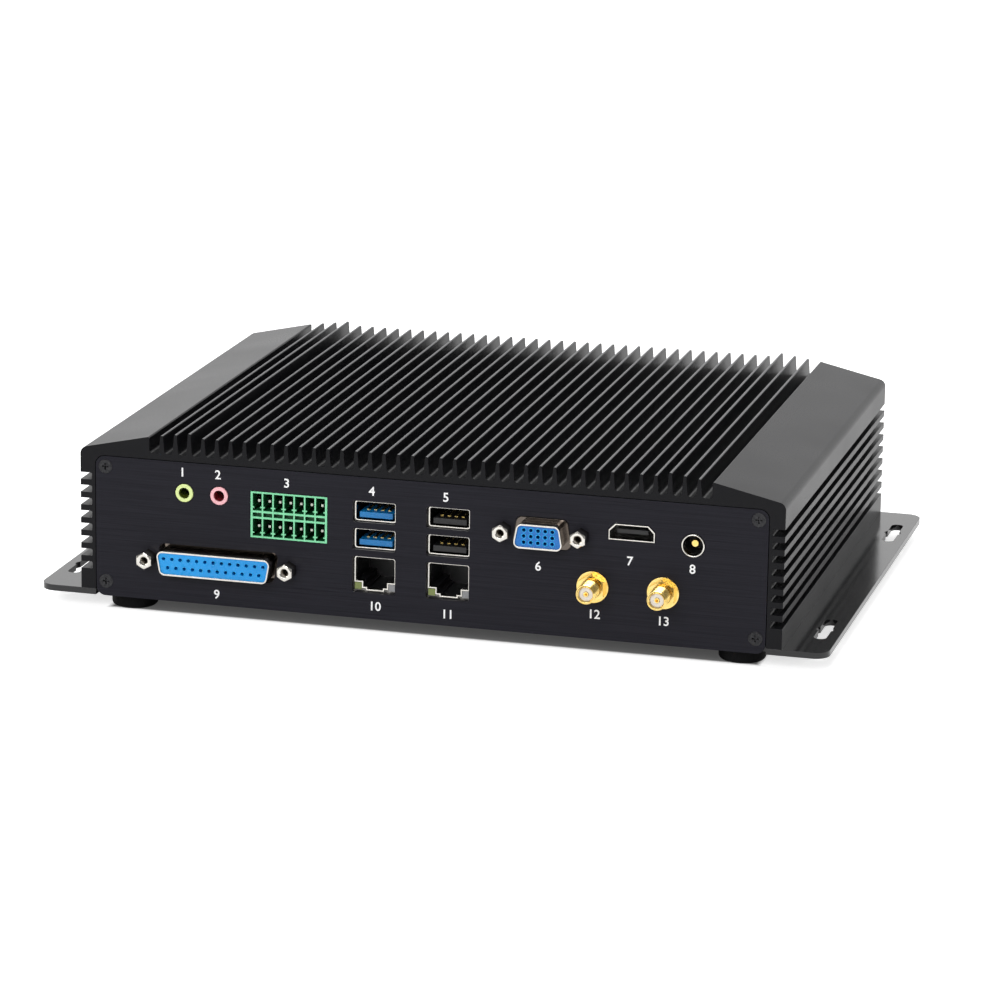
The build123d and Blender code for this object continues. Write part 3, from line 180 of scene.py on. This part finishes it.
# Lamps: name, place, size, power, and whether polished metal mirrors it
LAMP_AIM = (0, 0, 0.03)
LAMPS = (
    ("back_left", (-1.0, 0.9, 1.0), (0.9, 0.6), 4, True),
    ("overhead", (0.0, -0.1, 1.5), (1.2, 0.9), 10, False),
    ("front", (-0.3, -1.7, 1.0), (1.3, 0.8), 20, True),
    ("back", (0.5, 1.7, 1.0), (1.3, 0.8), 9, False),
)


# Node material helpers
def new_material(name):
    """A material with a Principled shader: the material, its tree and the shader."""
    material = bpy.data.materials.new(name)
    material.use_nodes = True
    tree = material.node_tree
    return material, tree, tree.nodes["Principled BSDF"]


def object_noise(tree, scale, detail=3.0, roughness=0.55, stretch=EVEN):
    """Noise over the object's own coordinates, stretched along the axes."""
    coordinates = tree.nodes.new("ShaderNodeTexCoord")
    mapping = tree.nodes.new("ShaderNodeMapping")
    mapping.inputs["Scale"].default_value = stretch
    tree.links.new(coordinates.outputs["Object"], mapping.inputs["Vector"])
    noise = tree.nodes.new("ShaderNodeTexNoise")
    noise.inputs["Scale"].default_value = scale
    noise.inputs["Detail"].default_value = detail
    noise.inputs["Roughness"].default_value = roughness
    tree.links.new(mapping.outputs["Vector"], noise.inputs["Vector"])
    return noise.outputs["Fac"]


def axes_of(tree, coordinate):
    """The X, Y and Z of one output of the texture coordinates."""
    coordinates = tree.nodes.new("ShaderNodeTexCoord")
    axes = tree.nodes.new("ShaderNodeSeparateXYZ")
    tree.links.new(coordinates.outputs[coordinate], axes.inputs["Vector"])
    return axes.outputs


def remap(tree, value, low, high, source=(0.3, 0.7)):
    """A value spread over a range. Noise lies for the most part in the default source range."""
    node = tree.nodes.new("ShaderNodeMapRange")
    node.inputs["From Min"].default_value = source[0]
    node.inputs["From Max"].default_value = source[1]
    node.inputs["To Min"].default_value = low
    node.inputs["To Max"].default_value = high
    tree.links.new(value, node.inputs["Value"])
    return node.outputs["Result"]


def joined(tree, operation, first, second):
    """The result of one step of arithmetic on two sockets or numbers."""
    node = tree.nodes.new("ShaderNodeMath")
    node.operation = operation
    for socket, value in zip(node.inputs, (first, second)):
        if isinstance(value, (int, float)):
            socket.default_value = value
        else:
            tree.links.new(value, socket)
    return node.outputs[0]


def blend_colours(tree, share, first, second):
    """A colour between two, by a share from 0 to 1. The first may be a socket."""
    node = tree.nodes.new("ShaderNodeMix")
    node.data_type = "RGBA"
    if isinstance(first, tuple):
        node.inputs[MIX_FIRST].default_value = (*first, 1)
    else:
        tree.links.new(first, node.inputs[MIX_FIRST])
    node.inputs[MIX_SECOND].default_value = (*second, 1)
    tree.links.new(share, node.inputs["Factor"])
    return node.outputs[MIX_RESULT]


def add_bump(tree, shader, height, strength, distance, edge):
    """Bump on the shader's normal, over edges rounded by a small radius, or sharp if it is 0."""
    bump = tree.nodes.new("ShaderNodeBump")
    bump.inputs["Strength"].default_value = strength
    bump.inputs["Distance"].default_value = distance
    tree.links.new(height, bump.inputs["Height"])
    if edge:
        bevel = tree.nodes.new("ShaderNodeBevel")
        bevel.samples = BEVEL_SAMPLES
        bevel.inputs["Radius"].default_value = edge
        tree.links.new(bevel.outputs["Normal"], bump.inputs["Normal"])
    tree.links.new(bump.outputs["Normal"], shader.inputs["Normal"])


def metal_finish(
    name, dark, light, metallic, roughness, scale, bump, depth,
    stretch=EVEN, edge=0.1 * MM, spread=0.06, specular=0.5,
):
    """A metal or coated surface whose colour, gloss and relief follow the grain of its working."""
    material, tree, shader = new_material(name)
    shader.inputs["Metallic"].default_value = metallic
    shader.inputs["Specular IOR Level"].default_value = specular
    grain = object_noise(tree, scale, stretch=stretch)
    cloud = object_noise(tree, METAL_CLOUD, CLOUD_DETAIL)
    colour = blend_colours(tree, remap(tree, grain, 0, 1), dark, light)
    tree.links.new(colour, shader.inputs["Base Color"])
    fine = remap(tree, grain, roughness - spread, roughness + spread)
    uneven = remap(tree, cloud, -spread / 2, spread / 2)
    tree.links.new(joined(tree, "ADD", fine, uneven), shader.inputs["Roughness"])
    add_bump(tree, shader, grain, bump, depth, edge)
    return material


def moulded_finish(name, dark, light, roughness, grain=900.0, bump=0.15, edge=0.1 * MM, specular=0.5):
    """A moulded plastic or rubber with a fine skin and slightly uneven colour and gloss."""
    material, tree, shader = new_material(name)
    shader.inputs["Specular IOR Level"].default_value = specular
    skin = object_noise(tree, grain, CLOUD_DETAIL)
    cloud = object_noise(tree, MOULDED_CLOUD, CLOUD_DETAIL)
    colour = blend_colours(tree, remap(tree, cloud, 0, 1), dark, light)
    tree.links.new(colour, shader.inputs["Base Color"])
    gloss = remap(tree, skin, roughness - MOULDED_SPREAD, roughness + MOULDED_SPREAD)
    tree.links.new(gloss, shader.inputs["Roughness"])
    add_bump(tree, shader, skin, bump, MOULDED_DEPTH, edge)
    return material


def lamp_finish(name, dark, light):
    """Clear tinted plastic, as a light guide that is off."""
    material = moulded_finish(name, dark, light, LAMP_ROUGHNESS, LAMP_GRAIN, LAMP_BUMP)
    shader = material.node_tree.nodes["Principled BSDF"]
    shader.inputs["Coat Weight"].default_value = LAMP_COAT
    return material


def paint_light_along(material, axis, colour, source, upward=False):
    """Paints light or shade: blends a colour in as one axis passes through a range, all round or only where
    it faces up.
    """
    tree = material.node_tree
    base = tree.nodes["Principled BSDF"].inputs["Base Color"]
    share = remap(tree, axes_of(tree, "Object")[axis], 0.0, 1.0, source)
    if upward:
        facing = remap(tree, axes_of(tree, "Normal")["Z"], 0.0, 1.0, UPWARD)
        share = joined(tree, "MULTIPLY", share, facing)
    tree.links.new(blend_colours(tree, share, base.links[0].from_socket, colour), base)


def dress(material, *names):
    """Gives CAD nodes this material."""
    for name in names:
        slots = NODES[name].data.materials
        slots.clear()
        slots.append(material)


# Metals
NICKEL = {
    "dark": (0.66, 0.63, 0.58), "light": (0.76, 0.74, 0.69), "metallic": 1.0, "roughness": 0.11,
    "scale": 500, "bump": 0.04, "depth": 0.01 * MM, "edge": 0.12 * MM, "spread": 0.03,
}
extruded_black = metal_finish(
    "extruded_black", (0.0050, 0.0050, 0.0062), (0.0080, 0.0080, 0.0095), metallic=0.0,
    roughness=0.31, scale=5200, bump=0.2, depth=0.015 * MM, edge=0.12 * MM, spread=0.04,
    specular=0.13,
)
brushed_black = metal_finish(
    "brushed_black", (0.0085, 0.0082, 0.0125), (0.0160, 0.0155, 0.0215), metallic=0.0,
    roughness=0.36, scale=3200, bump=0.45, depth=0.03 * MM, stretch=ALONG_X, spread=0.08,
    specular=0.12,
)
sheet_black = metal_finish(
    "sheet_black", (0.004, 0.004, 0.005), (0.006, 0.006, 0.007), metallic=0.0, roughness=0.15,
    scale=3000, bump=0.08, depth=0.02 * MM, edge=0.2 * MM, spread=0.04, specular=0.55,
)
screw_black = metal_finish(
    "screw_black", (0.022, 0.022, 0.024), (0.05, 0.05, 0.052), metallic=1.0, roughness=0.2,
    scale=2500, bump=0.15, depth=0.02 * MM,
)
bright_nickel = metal_finish("bright_nickel", **NICKEL)
# A copy of the nickel for the front ports, in painted shade: darker towards the panel
nickel_painted_shade = metal_finish("nickel_painted_shade", **NICKEL)
pin_tin = metal_finish(
    "pin_tin", (0.42, 0.44, 0.38), (0.55, 0.56, 0.50), metallic=1.0, roughness=0.3, scale=900,
    bump=0.1, depth=0.01 * MM,
)
plated_gold = metal_finish(
    "plated_gold", (0.90, 0.62, 0.16), (1.0, 0.76, 0.30), metallic=1.0, roughness=0.17,
    scale=600, bump=0.08, depth=0.01 * MM, spread=0.05,
)
milled_aluminium = metal_finish(
    "milled_aluminium", (0.55, 0.55, 0.56), (0.68, 0.68, 0.69), metallic=1.0, roughness=0.38,
    scale=1200, bump=0.3, depth=0.02 * MM, stretch=ALONG_X,
)

# Mouldings, print and lamps
foot_rubber = moulded_finish(
    "foot_rubber", (0.0015, 0.0015, 0.002), (0.003, 0.003, 0.0035), 0.6, grain=1200, bump=0.3,
    specular=0.1,
)
black_moulding = moulded_finish("black_moulding", (0.006, 0.006, 0.007), (0.010, 0.010, 0.011), 0.42)
white_moulding = moulded_finish("white_moulding", (0.78, 0.74, 0.68), (0.86, 0.82, 0.76), 0.35)
parallel_blue = moulded_finish("parallel_blue", (0.002, 0.27, 0.70), (0.004, 0.33, 0.80), 0.3)
video_blue = moulded_finish("video_blue", (0.002, 0.13, 0.46), (0.004, 0.18, 0.58), 0.3)
tongue_blue = moulded_finish("tongue_blue", (0.002, 0.15, 0.42), (0.004, 0.21, 0.54), 0.3)
collar_blue = moulded_finish("collar_blue", (0.01, 0.36, 0.80), (0.02, 0.42, 0.88), 0.25)
# The sound rings and the header are coloured dark as painted shade inside their mouths; painted light makes
# their front faces lighter below
ring_lime = moulded_finish("ring_lime", (0.10, 0.13, 0.01), (0.14, 0.18, 0.02), 0.25)
ring_pink = moulded_finish("ring_pink", (0.26, 0.02, 0.03), (0.34, 0.04, 0.05), 0.25)
header_green = moulded_finish("header_green", (0.004, 0.075, 0.022), (0.008, 0.12, 0.04), 0.35)
board_green = moulded_finish("board_green", (0.006, 0.06, 0.03), (0.01, 0.09, 0.045), 0.35, grain=300.0)
white_print = moulded_finish(
    "white_print", (0.90, 0.90, 0.90), (0.96, 0.96, 0.96), 0.5, grain=1500, bump=0.1, edge=0,
)
lamp_green = lamp_finish("lamp_green", (0.13, 0.17, 0.02), (0.20, 0.24, 0.04))
lamp_clear = lamp_finish("lamp_clear", (0.16, 0.16, 0.17), (0.30, 0.30, 0.31))
lamp_status = lamp_finish("lamp_status", (0.4, 0.42, 0.4), (0.5, 0.52, 0.5))

# Painted highlight on the upward faces of the fin tips, painted shade on the port shells towards the panel,
# and painted light on the front faces of the rings and header, which are lighter than the walls behind them
paint_light_along(extruded_black, "Z", (0.10, 0.10, 0.105), FIN_RISE, upward=True)
paint_light_along(nickel_painted_shade, "Y", (0.13, 0.11, 0.095), SHELL_RISE)
paint_light_along(ring_lime, "Y", (0.72, 0.84, 0.34), RING_RISE)
paint_light_along(ring_pink, "Y", (0.92, 0.48, 0.52), RING_RISE)
paint_light_along(header_green, "Y", (0.22, 0.70, 0.38), HEADER_RISE)

dress(extruded_black, "housing")
dress(brushed_black, "front_panel", "rear_panel")
dress(sheet_black, "base_sheet")
dress(screw_black, "panel_screws", "base_screws", "foot_screws", "drive_screws")
dress(foot_rubber, "feet")
dress(
    bright_nickel, "left_socket_shield", "right_socket_shield", "digital_port_shell",
    "power_inlet_sleeve", "front_jackscrews", "rear_jackscrews", "serial_port_shells",
    "power_button_bezel", "power_button_cap", "power_button_nut", "board_screws",
    "board_spacers", "processor", "radio_can", "clock_cell",
)
dress(nickel_painted_shade, "parallel_port_shell", "video_port_shell")
dress(pin_tin, "signal_pins")
dress(
    plated_gold, "antenna_sockets", "antenna_contacts", "antenna_washers", "antenna_nuts",
    "power_inlet_pin", "serial_port_pins", "socket_contacts",
)
dress(milled_aluminium, "heat_block", "drive")
dress(
    black_moulding, "left_socket_core", "right_socket_core", "right_socket_tongues",
    "digital_port_core", "power_inlet_body", "serial_port_inserts", "memory_socket",
    "memory_chips", "radio_socket", "cell_holder",
)
dress(white_moulding, "antenna_insulators")
dress(header_green, "signal_header")
dress(parallel_blue, "parallel_port_insert")
dress(video_blue, "video_port_insert")
dress(tongue_blue, "left_socket_tongues")
dress(ring_lime, "microphone_socket")
dress(ring_pink, "speaker_socket")
dress(board_green, "mainboard", "memory_module", "radio_card")
dress(lamp_green, "link_lamps")
dress(lamp_clear, "traffic_lamps")
dress(lamp_status, "status_lights")


# Pieces
def link(item):
    """Puts an object into the scene."""
    bpy.context.scene.collection.objects.link(item)


def mesh_piece(name, build, material):
    """A new mesh piece that rides on the case. The build function fills an empty bmesh."""
    mesh = bpy.data.meshes.new(name)
    shape = bmesh.new()
    build(shape)
    shape.to_mesh(mesh)
    shape.free()
    mesh.materials.append(material)
    piece = bpy.data.objects.new(name, mesh)
    link(piece)
    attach(piece, CASE)
    return piece


def solid_boxes(name):
    """The lowest and highest corner of each solid of a CAD node, in order of X, then Z."""
    shape = bmesh.new()
    shape.from_mesh(NODES[name].data)
    bmesh.ops.remove_doubles(shape, verts=shape.verts, dist=SAME_PLACE)
    unseen = set(shape.verts)
    boxes = []
    while unseen:
        group = [unseen.pop()]
        for vertex in group:
            for edge in vertex.link_edges:
                other = edge.other_vert(vertex)
                if other in unseen:
                    unseen.remove(other)
                    group.append(other)
        corners = [[pick(v.co[i] for v in group) for i in range(3)] for pick in (min, max)]
        boxes.append([Vector(corner) for corner in corners])
    shape.free()
    return sorted(boxes, key=lambda box: (round(box[0].x, 5), box[0].z))


def add_rings(shape, rings, centre, facing):
    """Skins rings of (radius, depth) points round an axis along Y. Depth grows inwards from the end."""
    skins = []
    for ring in rings:
        points = []
        for step, (radius, depth) in enumerate(ring):
            angle = 2 * pi * step / len(ring)
            spot = (centre.x + radius * cos(angle), centre.y - facing * depth, centre.z + radius * sin(angle))
            points.append(shape.verts.new(spot))
        skins.append(points)
    for first, second in zip(skins, skins[1:]):
        for i in range(len(first)):
            j = (i + 1) % len(first)
            shape.faces.new((first[i], first[j], second[j], second[i]))


def plain_ring(radius, depth, steps=ROUND_STEPS):
    """A round ring at one depth."""
    return [(radius, depth)] * steps


def plain_rings(profile, steps=ROUND_STEPS):
    """Round rings along a profile of (radius, depth)."""
    return [plain_ring(radius, depth, steps) for radius, depth in profile]


def thread_rings(root, crest, start, stop, pitch):
    """Rings of a helical thread between two depths, from root to crest radius and back each turn."""
    rings = []
    for turn in range(-1, int((stop - start) / pitch) + 1):
        for share, level in THREAD_TURN:
            ring = []
            for step in range(ROUND_STEPS):
                depth = start + pitch * (turn + share + step / ROUND_STEPS)
                radius = crest if level and start < depth < stop else root
                ring.append((radius, min(max(depth, start), stop)))
            rings.append(ring)
    return [plain_ring(root, start), *rings, plain_ring(root, stop)]


def close_mesh(shape):
    """Welds coinciding points, drops faces of no size and turns all faces outwards."""
    bmesh.ops.remove_doubles(shape, verts=shape.verts, dist=WELD)
    bmesh.ops.dissolve_degenerate(shape, edges=shape.edges, dist=SAME_PLACE)
    bmesh.ops.recalc_face_normals(shape, faces=shape.faces)


def hexagon_ring(limit, depth):
    """A ring along the jackscrew's hexagon, cut back to a largest radius. Its flats face along X."""
    ring = []
    for step in range(JACK_STEPS):
        turn = (2 * pi * step / JACK_STEPS + pi / 6) % (pi / 3) - pi / 6
        ring.append((min(JACK_FLATS / 2 / cos(turn), limit), depth))
    return ring


def jackscrew_body(box, facing):
    """Builds a hexagonal jackscrew with a chamfered end and a threaded bore."""
    low, high = box
    end = low.y if facing < 0 else high.y
    centre = Vector(((low.x + high.x) / 2, end, (low.z + high.z) / 2))
    stud_end = abs(high.y - low.y)
    corner = JACK_FLATS / 2 / cos(pi / 6)

    def build(shape):
        bore = [(AXIS_RADIUS, JACK_BORE_DEPTH), (JACK_BORE, JACK_BORE_DEPTH)]
        depth = JACK_BORE_DEPTH
        while depth > JACK_SINK + JACK_PITCH:
            depth -= JACK_PITCH / 2
            bore.append((JACK_BORE - JACK_RIDGE, depth))
            depth -= JACK_PITCH / 2
            bore.append((JACK_BORE, depth))
        bore += [(JACK_BORE, JACK_SINK), (JACK_BORE + JACK_SINK, 0.0)]
        rings = plain_rings(bore, JACK_STEPS)
        start = JACK_FLATS / 2 * JACK_FACE
        for step in range(JACK_CHAMFER_STEPS + 1):
            limit = start + (corner - start) * step / JACK_CHAMFER_STEPS
            rings.append(hexagon_ring(limit, (limit - start) * JACK_SLOPE))
        rings.append(hexagon_ring(corner, JACK_LENGTH))
        stud = ((JACK_STUD, JACK_LENGTH), (JACK_STUD, stud_end), (AXIS_RADIUS, stud_end))
        add_rings(shape, rings + plain_rings(stud, JACK_STEPS), centre, facing)
        close_mesh(shape)
    return build


def antenna_body(box):
    """Builds an antenna socket: threaded barrel, neck, flange and tail, with its bore."""
    low, high = box
    centre = Vector(((low.x + high.x) / 2, low.y, (low.z + high.z) / 2))
    panel_back = BARREL_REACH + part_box("front_panel")[1].y - FRONT
    neck_end = BARREL_NECK + NECK_LENGTH
    tail_end = high.y - low.y
    mouth = (
        (AXIS_RADIUS, BARREL_BORE_DEPTH), (BARREL_BORE, BARREL_BORE_DEPTH),
        (BARREL_BORE, BARREL_EDGE), (BARREL_BORE + BARREL_EDGE, 0.0),
        (THREAD_ROOT - BARREL_EDGE, 0.0), (THREAD_ROOT, BARREL_EDGE),
    )
    rest = (
        (NECK_RADIUS, BARREL_NECK), (NECK_RADIUS, neck_end), (THREAD_CREST, neck_end),
        (THREAD_CREST, panel_back), (FLANGE_RADIUS, panel_back),
        (FLANGE_RADIUS, panel_back + FLANGE), (TAIL_RADIUS, panel_back + FLANGE),
        (TAIL_RADIUS, tail_end), (AXIS_RADIUS, tail_end),
    )

    def build(shape):
        thread = thread_rings(THREAD_ROOT, THREAD_CREST, BARREL_EDGE, BARREL_NECK, THREAD_PITCH)
        add_rings(shape, [*plain_rings(mouth), *thread, *plain_rings(rest)], centre, -1)
        close_mesh(shape)
    return build


def collar_rows(places):
    """Builds a raised rim round each contact hole of an insert."""
    profile = (
        (HOLE_RADIUS, 0.0), (HOLE_RADIUS, -COLLAR_PROUD * (1 - COLLAR_ROUND)),
        (HOLE_RADIUS + COLLAR_WIDTH * COLLAR_ROUND, -COLLAR_PROUD),
        (HOLE_RADIUS + COLLAR_WIDTH * (1 - COLLAR_ROUND), -COLLAR_PROUD),
        (HOLE_RADIUS + COLLAR_WIDTH, 0.0), (HOLE_RADIUS, 0.0),
    )

    def build(shape):
        for place in places:
            add_rings(shape, plain_rings(profile, COLLAR_STEPS), Vector(place), -1)
        close_mesh(shape)
    return build


def hole_places(name, rows, pitch):
    """The middles of an insert's contact holes, from rows of (count, height)."""
    low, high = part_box(name)
    middle = (low.x + high.x) / 2
    return [
        (middle + (i - (count - 1) / 2) * pitch, low.y, height)
        for count, height in rows for i in range(count)
    ]


def number_mark(text, x, z):
    """One printed number, its middle at x and z."""
    curve = bpy.data.curves.new("mark", "FONT")
    curve.body = text
    curve.align_x = "CENTER"
    curve.align_y = "CENTER"
    curve.size = MARK_HEIGHT * MM * FONT_TO_FIGURE
    curve.extrude = MARK_PROUD * MM / 2
    curve.offset = MARK_WEIGHT * MM
    curve.resolution_u = MARK_CURVE_STEPS
    text_object = bpy.data.objects.new("mark", curve)
    link(text_object)
    bpy.context.view_layer.update()
    depsgraph = bpy.context.evaluated_depsgraph_get()
    mesh = bpy.data.meshes.new_from_object(text_object.evaluated_get(depsgraph))
    bpy.data.objects.remove(text_object)
    place = Vector((x * MM, FRONT - MARK_PROUD * MM / 2, SHEET_LOW + z * MM))
    mesh.transform(Matrix.Translation(place) @ Matrix.Rotation(pi / 2, 4, "X"))
    mesh.materials.clear()
    mesh.materials.append(white_print)
    piece = bpy.data.objects.new(f"number_mark_{text}", mesh)
    link(piece)
    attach(piece, CASE)


for node, facing, finish in (("front_jackscrews", -1, nickel_painted_shade), ("rear_jackscrews", 1, bright_nickel)):
    for count, box in enumerate(solid_boxes(node), 1):
        piece = mesh_piece(f"{node}_{count}", jackscrew_body(box, facing), finish)
        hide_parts(node)

for count, box in enumerate(solid_boxes("antenna_sockets"), 1):
    piece = mesh_piece(f"antenna_socket_{count}", antenna_body(box), plated_gold)
    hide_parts("antenna_sockets")

parallel_low, parallel_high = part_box("parallel_port_shell")
video_low, video_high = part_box("video_port_shell")
parallel_middle = (parallel_low.z + parallel_high.z) / 2
video_middle = (video_low.z + video_high.z) / 2
parallel_rows = [(13, parallel_middle + PARALLEL_ROW), (12, parallel_middle - PARALLEL_ROW)]
video_rows = [(5, video_middle + row * VIDEO_ROW) for row in (-1, 0, 1)]
for node, rows, pitch in (
    ("parallel_port_insert", parallel_rows, PARALLEL_PITCH),
    ("video_port_insert", video_rows, VIDEO_PITCH),
):
    places = hole_places(node, rows, pitch)
    mesh_piece(f"{node}_collars", collar_rows(places), collar_blue)

for mark in MARKS:
    number_mark(*mark)


# Camera
def camera_matrix():
    """The camera's place and turn from its yaw, pitch and roll."""
    yaw, pitch, roll = radians(CAMERA_YAW), radians(CAMERA_PITCH), radians(CAMERA_ROLL)
    forward = Vector((-sin(yaw) * cos(pitch), cos(yaw) * cos(pitch), -sin(pitch)))
    level = Vector((cos(yaw), sin(yaw), 0))
    over = level.cross(forward)
    right = cos(roll) * level + sin(roll) * over
    up = -sin(roll) * level + cos(roll) * over
    turn = Matrix((right, up, -forward)).transposed().to_4x4()
    return Matrix.Translation(CAMERA_PLACE) @ turn


camera_data = bpy.data.cameras.new("camera")
camera_data.lens = CAMERA_LENS
camera_data.sensor_width = CAMERA_SENSOR
camera_data.clip_start = CAMERA_NEAR
camera_data.clip_end = CAMERA_FAR
camera = bpy.data.objects.new("camera", camera_data)
link(camera)
camera.matrix_world = camera_matrix()
bpy.context.scene.camera = camera


# Floor
def shown_background(tree):
    """The lift of the floor for rays that show it straight, and in metal and glass."""
    path = tree.nodes.new("ShaderNodeLightPath").outputs
    mirrored = joined(tree, "MAXIMUM", path["Is Glossy Ray"], path["Is Transmission Ray"])
    return joined(
        tree, "MAXIMUM", joined(tree, "MULTIPLY", mirrored, MIRROR_LIFT),
        joined(tree, "MULTIPLY", path["Is Camera Ray"], FLOOR_LIFT),
    )


def outside_feet(tree):
    """0 on the floor between the feet, where the case keeps the light away and a shadow is painted, and 1
    outside.
    """
    axes = axes_of(tree, "Object")
    low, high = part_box("feet")
    beyond = []
    for name, start, stop in (("X", low.x, high.x), ("Y", low.y, high.y)):
        shifted = joined(tree, "SUBTRACT", axes[name], (start + stop) / 2)
        distance = joined(tree, "ABSOLUTE", shifted, 0.0)
        beyond.append(joined(tree, "SUBTRACT", distance, (stop - start) / 2))
    return remap(tree, joined(tree, "MAXIMUM", *beyond), 0.0, 1.0, (-BENEATH_FADE, 0.0))


def floor_material():
    """White floor that is grey between the feet, in the shade and in a painted shadow."""
    material = bpy.data.materials.new("floor_white")
    material.use_nodes = True
    tree = material.node_tree
    tree.nodes.clear()
    outside = outside_feet(tree)
    diffuse = tree.nodes.new("ShaderNodeBsdfDiffuse")
    shades = [(shade, shade, shade) for shade in (BENEATH_COLOUR, FLOOR_COLOUR)]
    tree.links.new(blend_colours(tree, outside, *shades), diffuse.inputs["Color"])
    glow = tree.nodes.new("ShaderNodeEmission")
    share = remap(tree, outside, BENEATH_LIFT / FLOOR_LIFT, 1.0, (0.0, 1.0))
    lift = joined(tree, "MULTIPLY", shown_background(tree), share)
    tree.links.new(lift, glow.inputs["Strength"])
    total = tree.nodes.new("ShaderNodeAddShader")
    tree.links.new(diffuse.outputs[0], total.inputs[0])
    tree.links.new(glow.outputs[0], total.inputs[1])
    output = tree.nodes.new("ShaderNodeOutputMaterial")
    tree.links.new(total.outputs[0], output.inputs["Surface"])
    return material


def make_floor():
    """The floor, at the soles of the feet."""
    mesh = bpy.data.meshes.new("floor")
    shape = bmesh.new()
    bmesh.ops.create_grid(shape, x_segments=1, y_segments=1, size=FLOOR_SIZE / 2)
    shape.to_mesh(mesh)
    shape.free()
    mesh.materials.append(floor_material())
    floor = bpy.data.objects.new("floor", mesh)
    floor.location.z = CAD_BOX[0][2]
    link(floor)


make_floor()


# World and lamps
def make_world():
    """The studio: white to the camera, and to the rest brightest low behind the object."""
    world = bpy.data.worlds.new("studio")
    world.use_nodes = True
    bpy.context.scene.world = world
    tree = world.node_tree
    backdrop = tree.nodes["Background"]
    backdrop.inputs["Color"].default_value = (1, 1, 1, 1)
    axes = axes_of(tree, "Generated")
    behind = remap(tree, axes["Y"], 0.0, WORLD_BACK, WORLD_RISE_BACK)
    low = remap(tree, axes["Z"], 1.0, 0.0, WORLD_FALL_UP)
    level = joined(tree, "ADD", joined(tree, "MULTIPLY", behind, low), WORLD_PLAIN)
    shown = tree.nodes.new("ShaderNodeLightPath").outputs["Is Camera Ray"]
    tree.links.new(joined(tree, "MAXIMUM", level, shown), backdrop.inputs["Strength"])


def area_lamp(name, place, size, power, mirrored):
    """A soft oblong lamp that faces the object, mirrored in polished metal or not."""
    data = bpy.data.lights.new(name, "AREA")
    data.shape = "RECTANGLE"
    data.size, data.size_y = size
    data.energy = power
    lamp = bpy.data.objects.new(name, data)
    lamp.location = place
    lamp.rotation_euler = (Vector(LAMP_AIM) - Vector(place)).to_track_quat("-Z", "Y").to_euler()
    lamp.visible_glossy = mirrored
    link(lamp)


make_world()
for lamp_row in LAMPS:
    area_lamp(*lamp_row)

bpy.context.scene.view_settings.view_transform = "Standard"
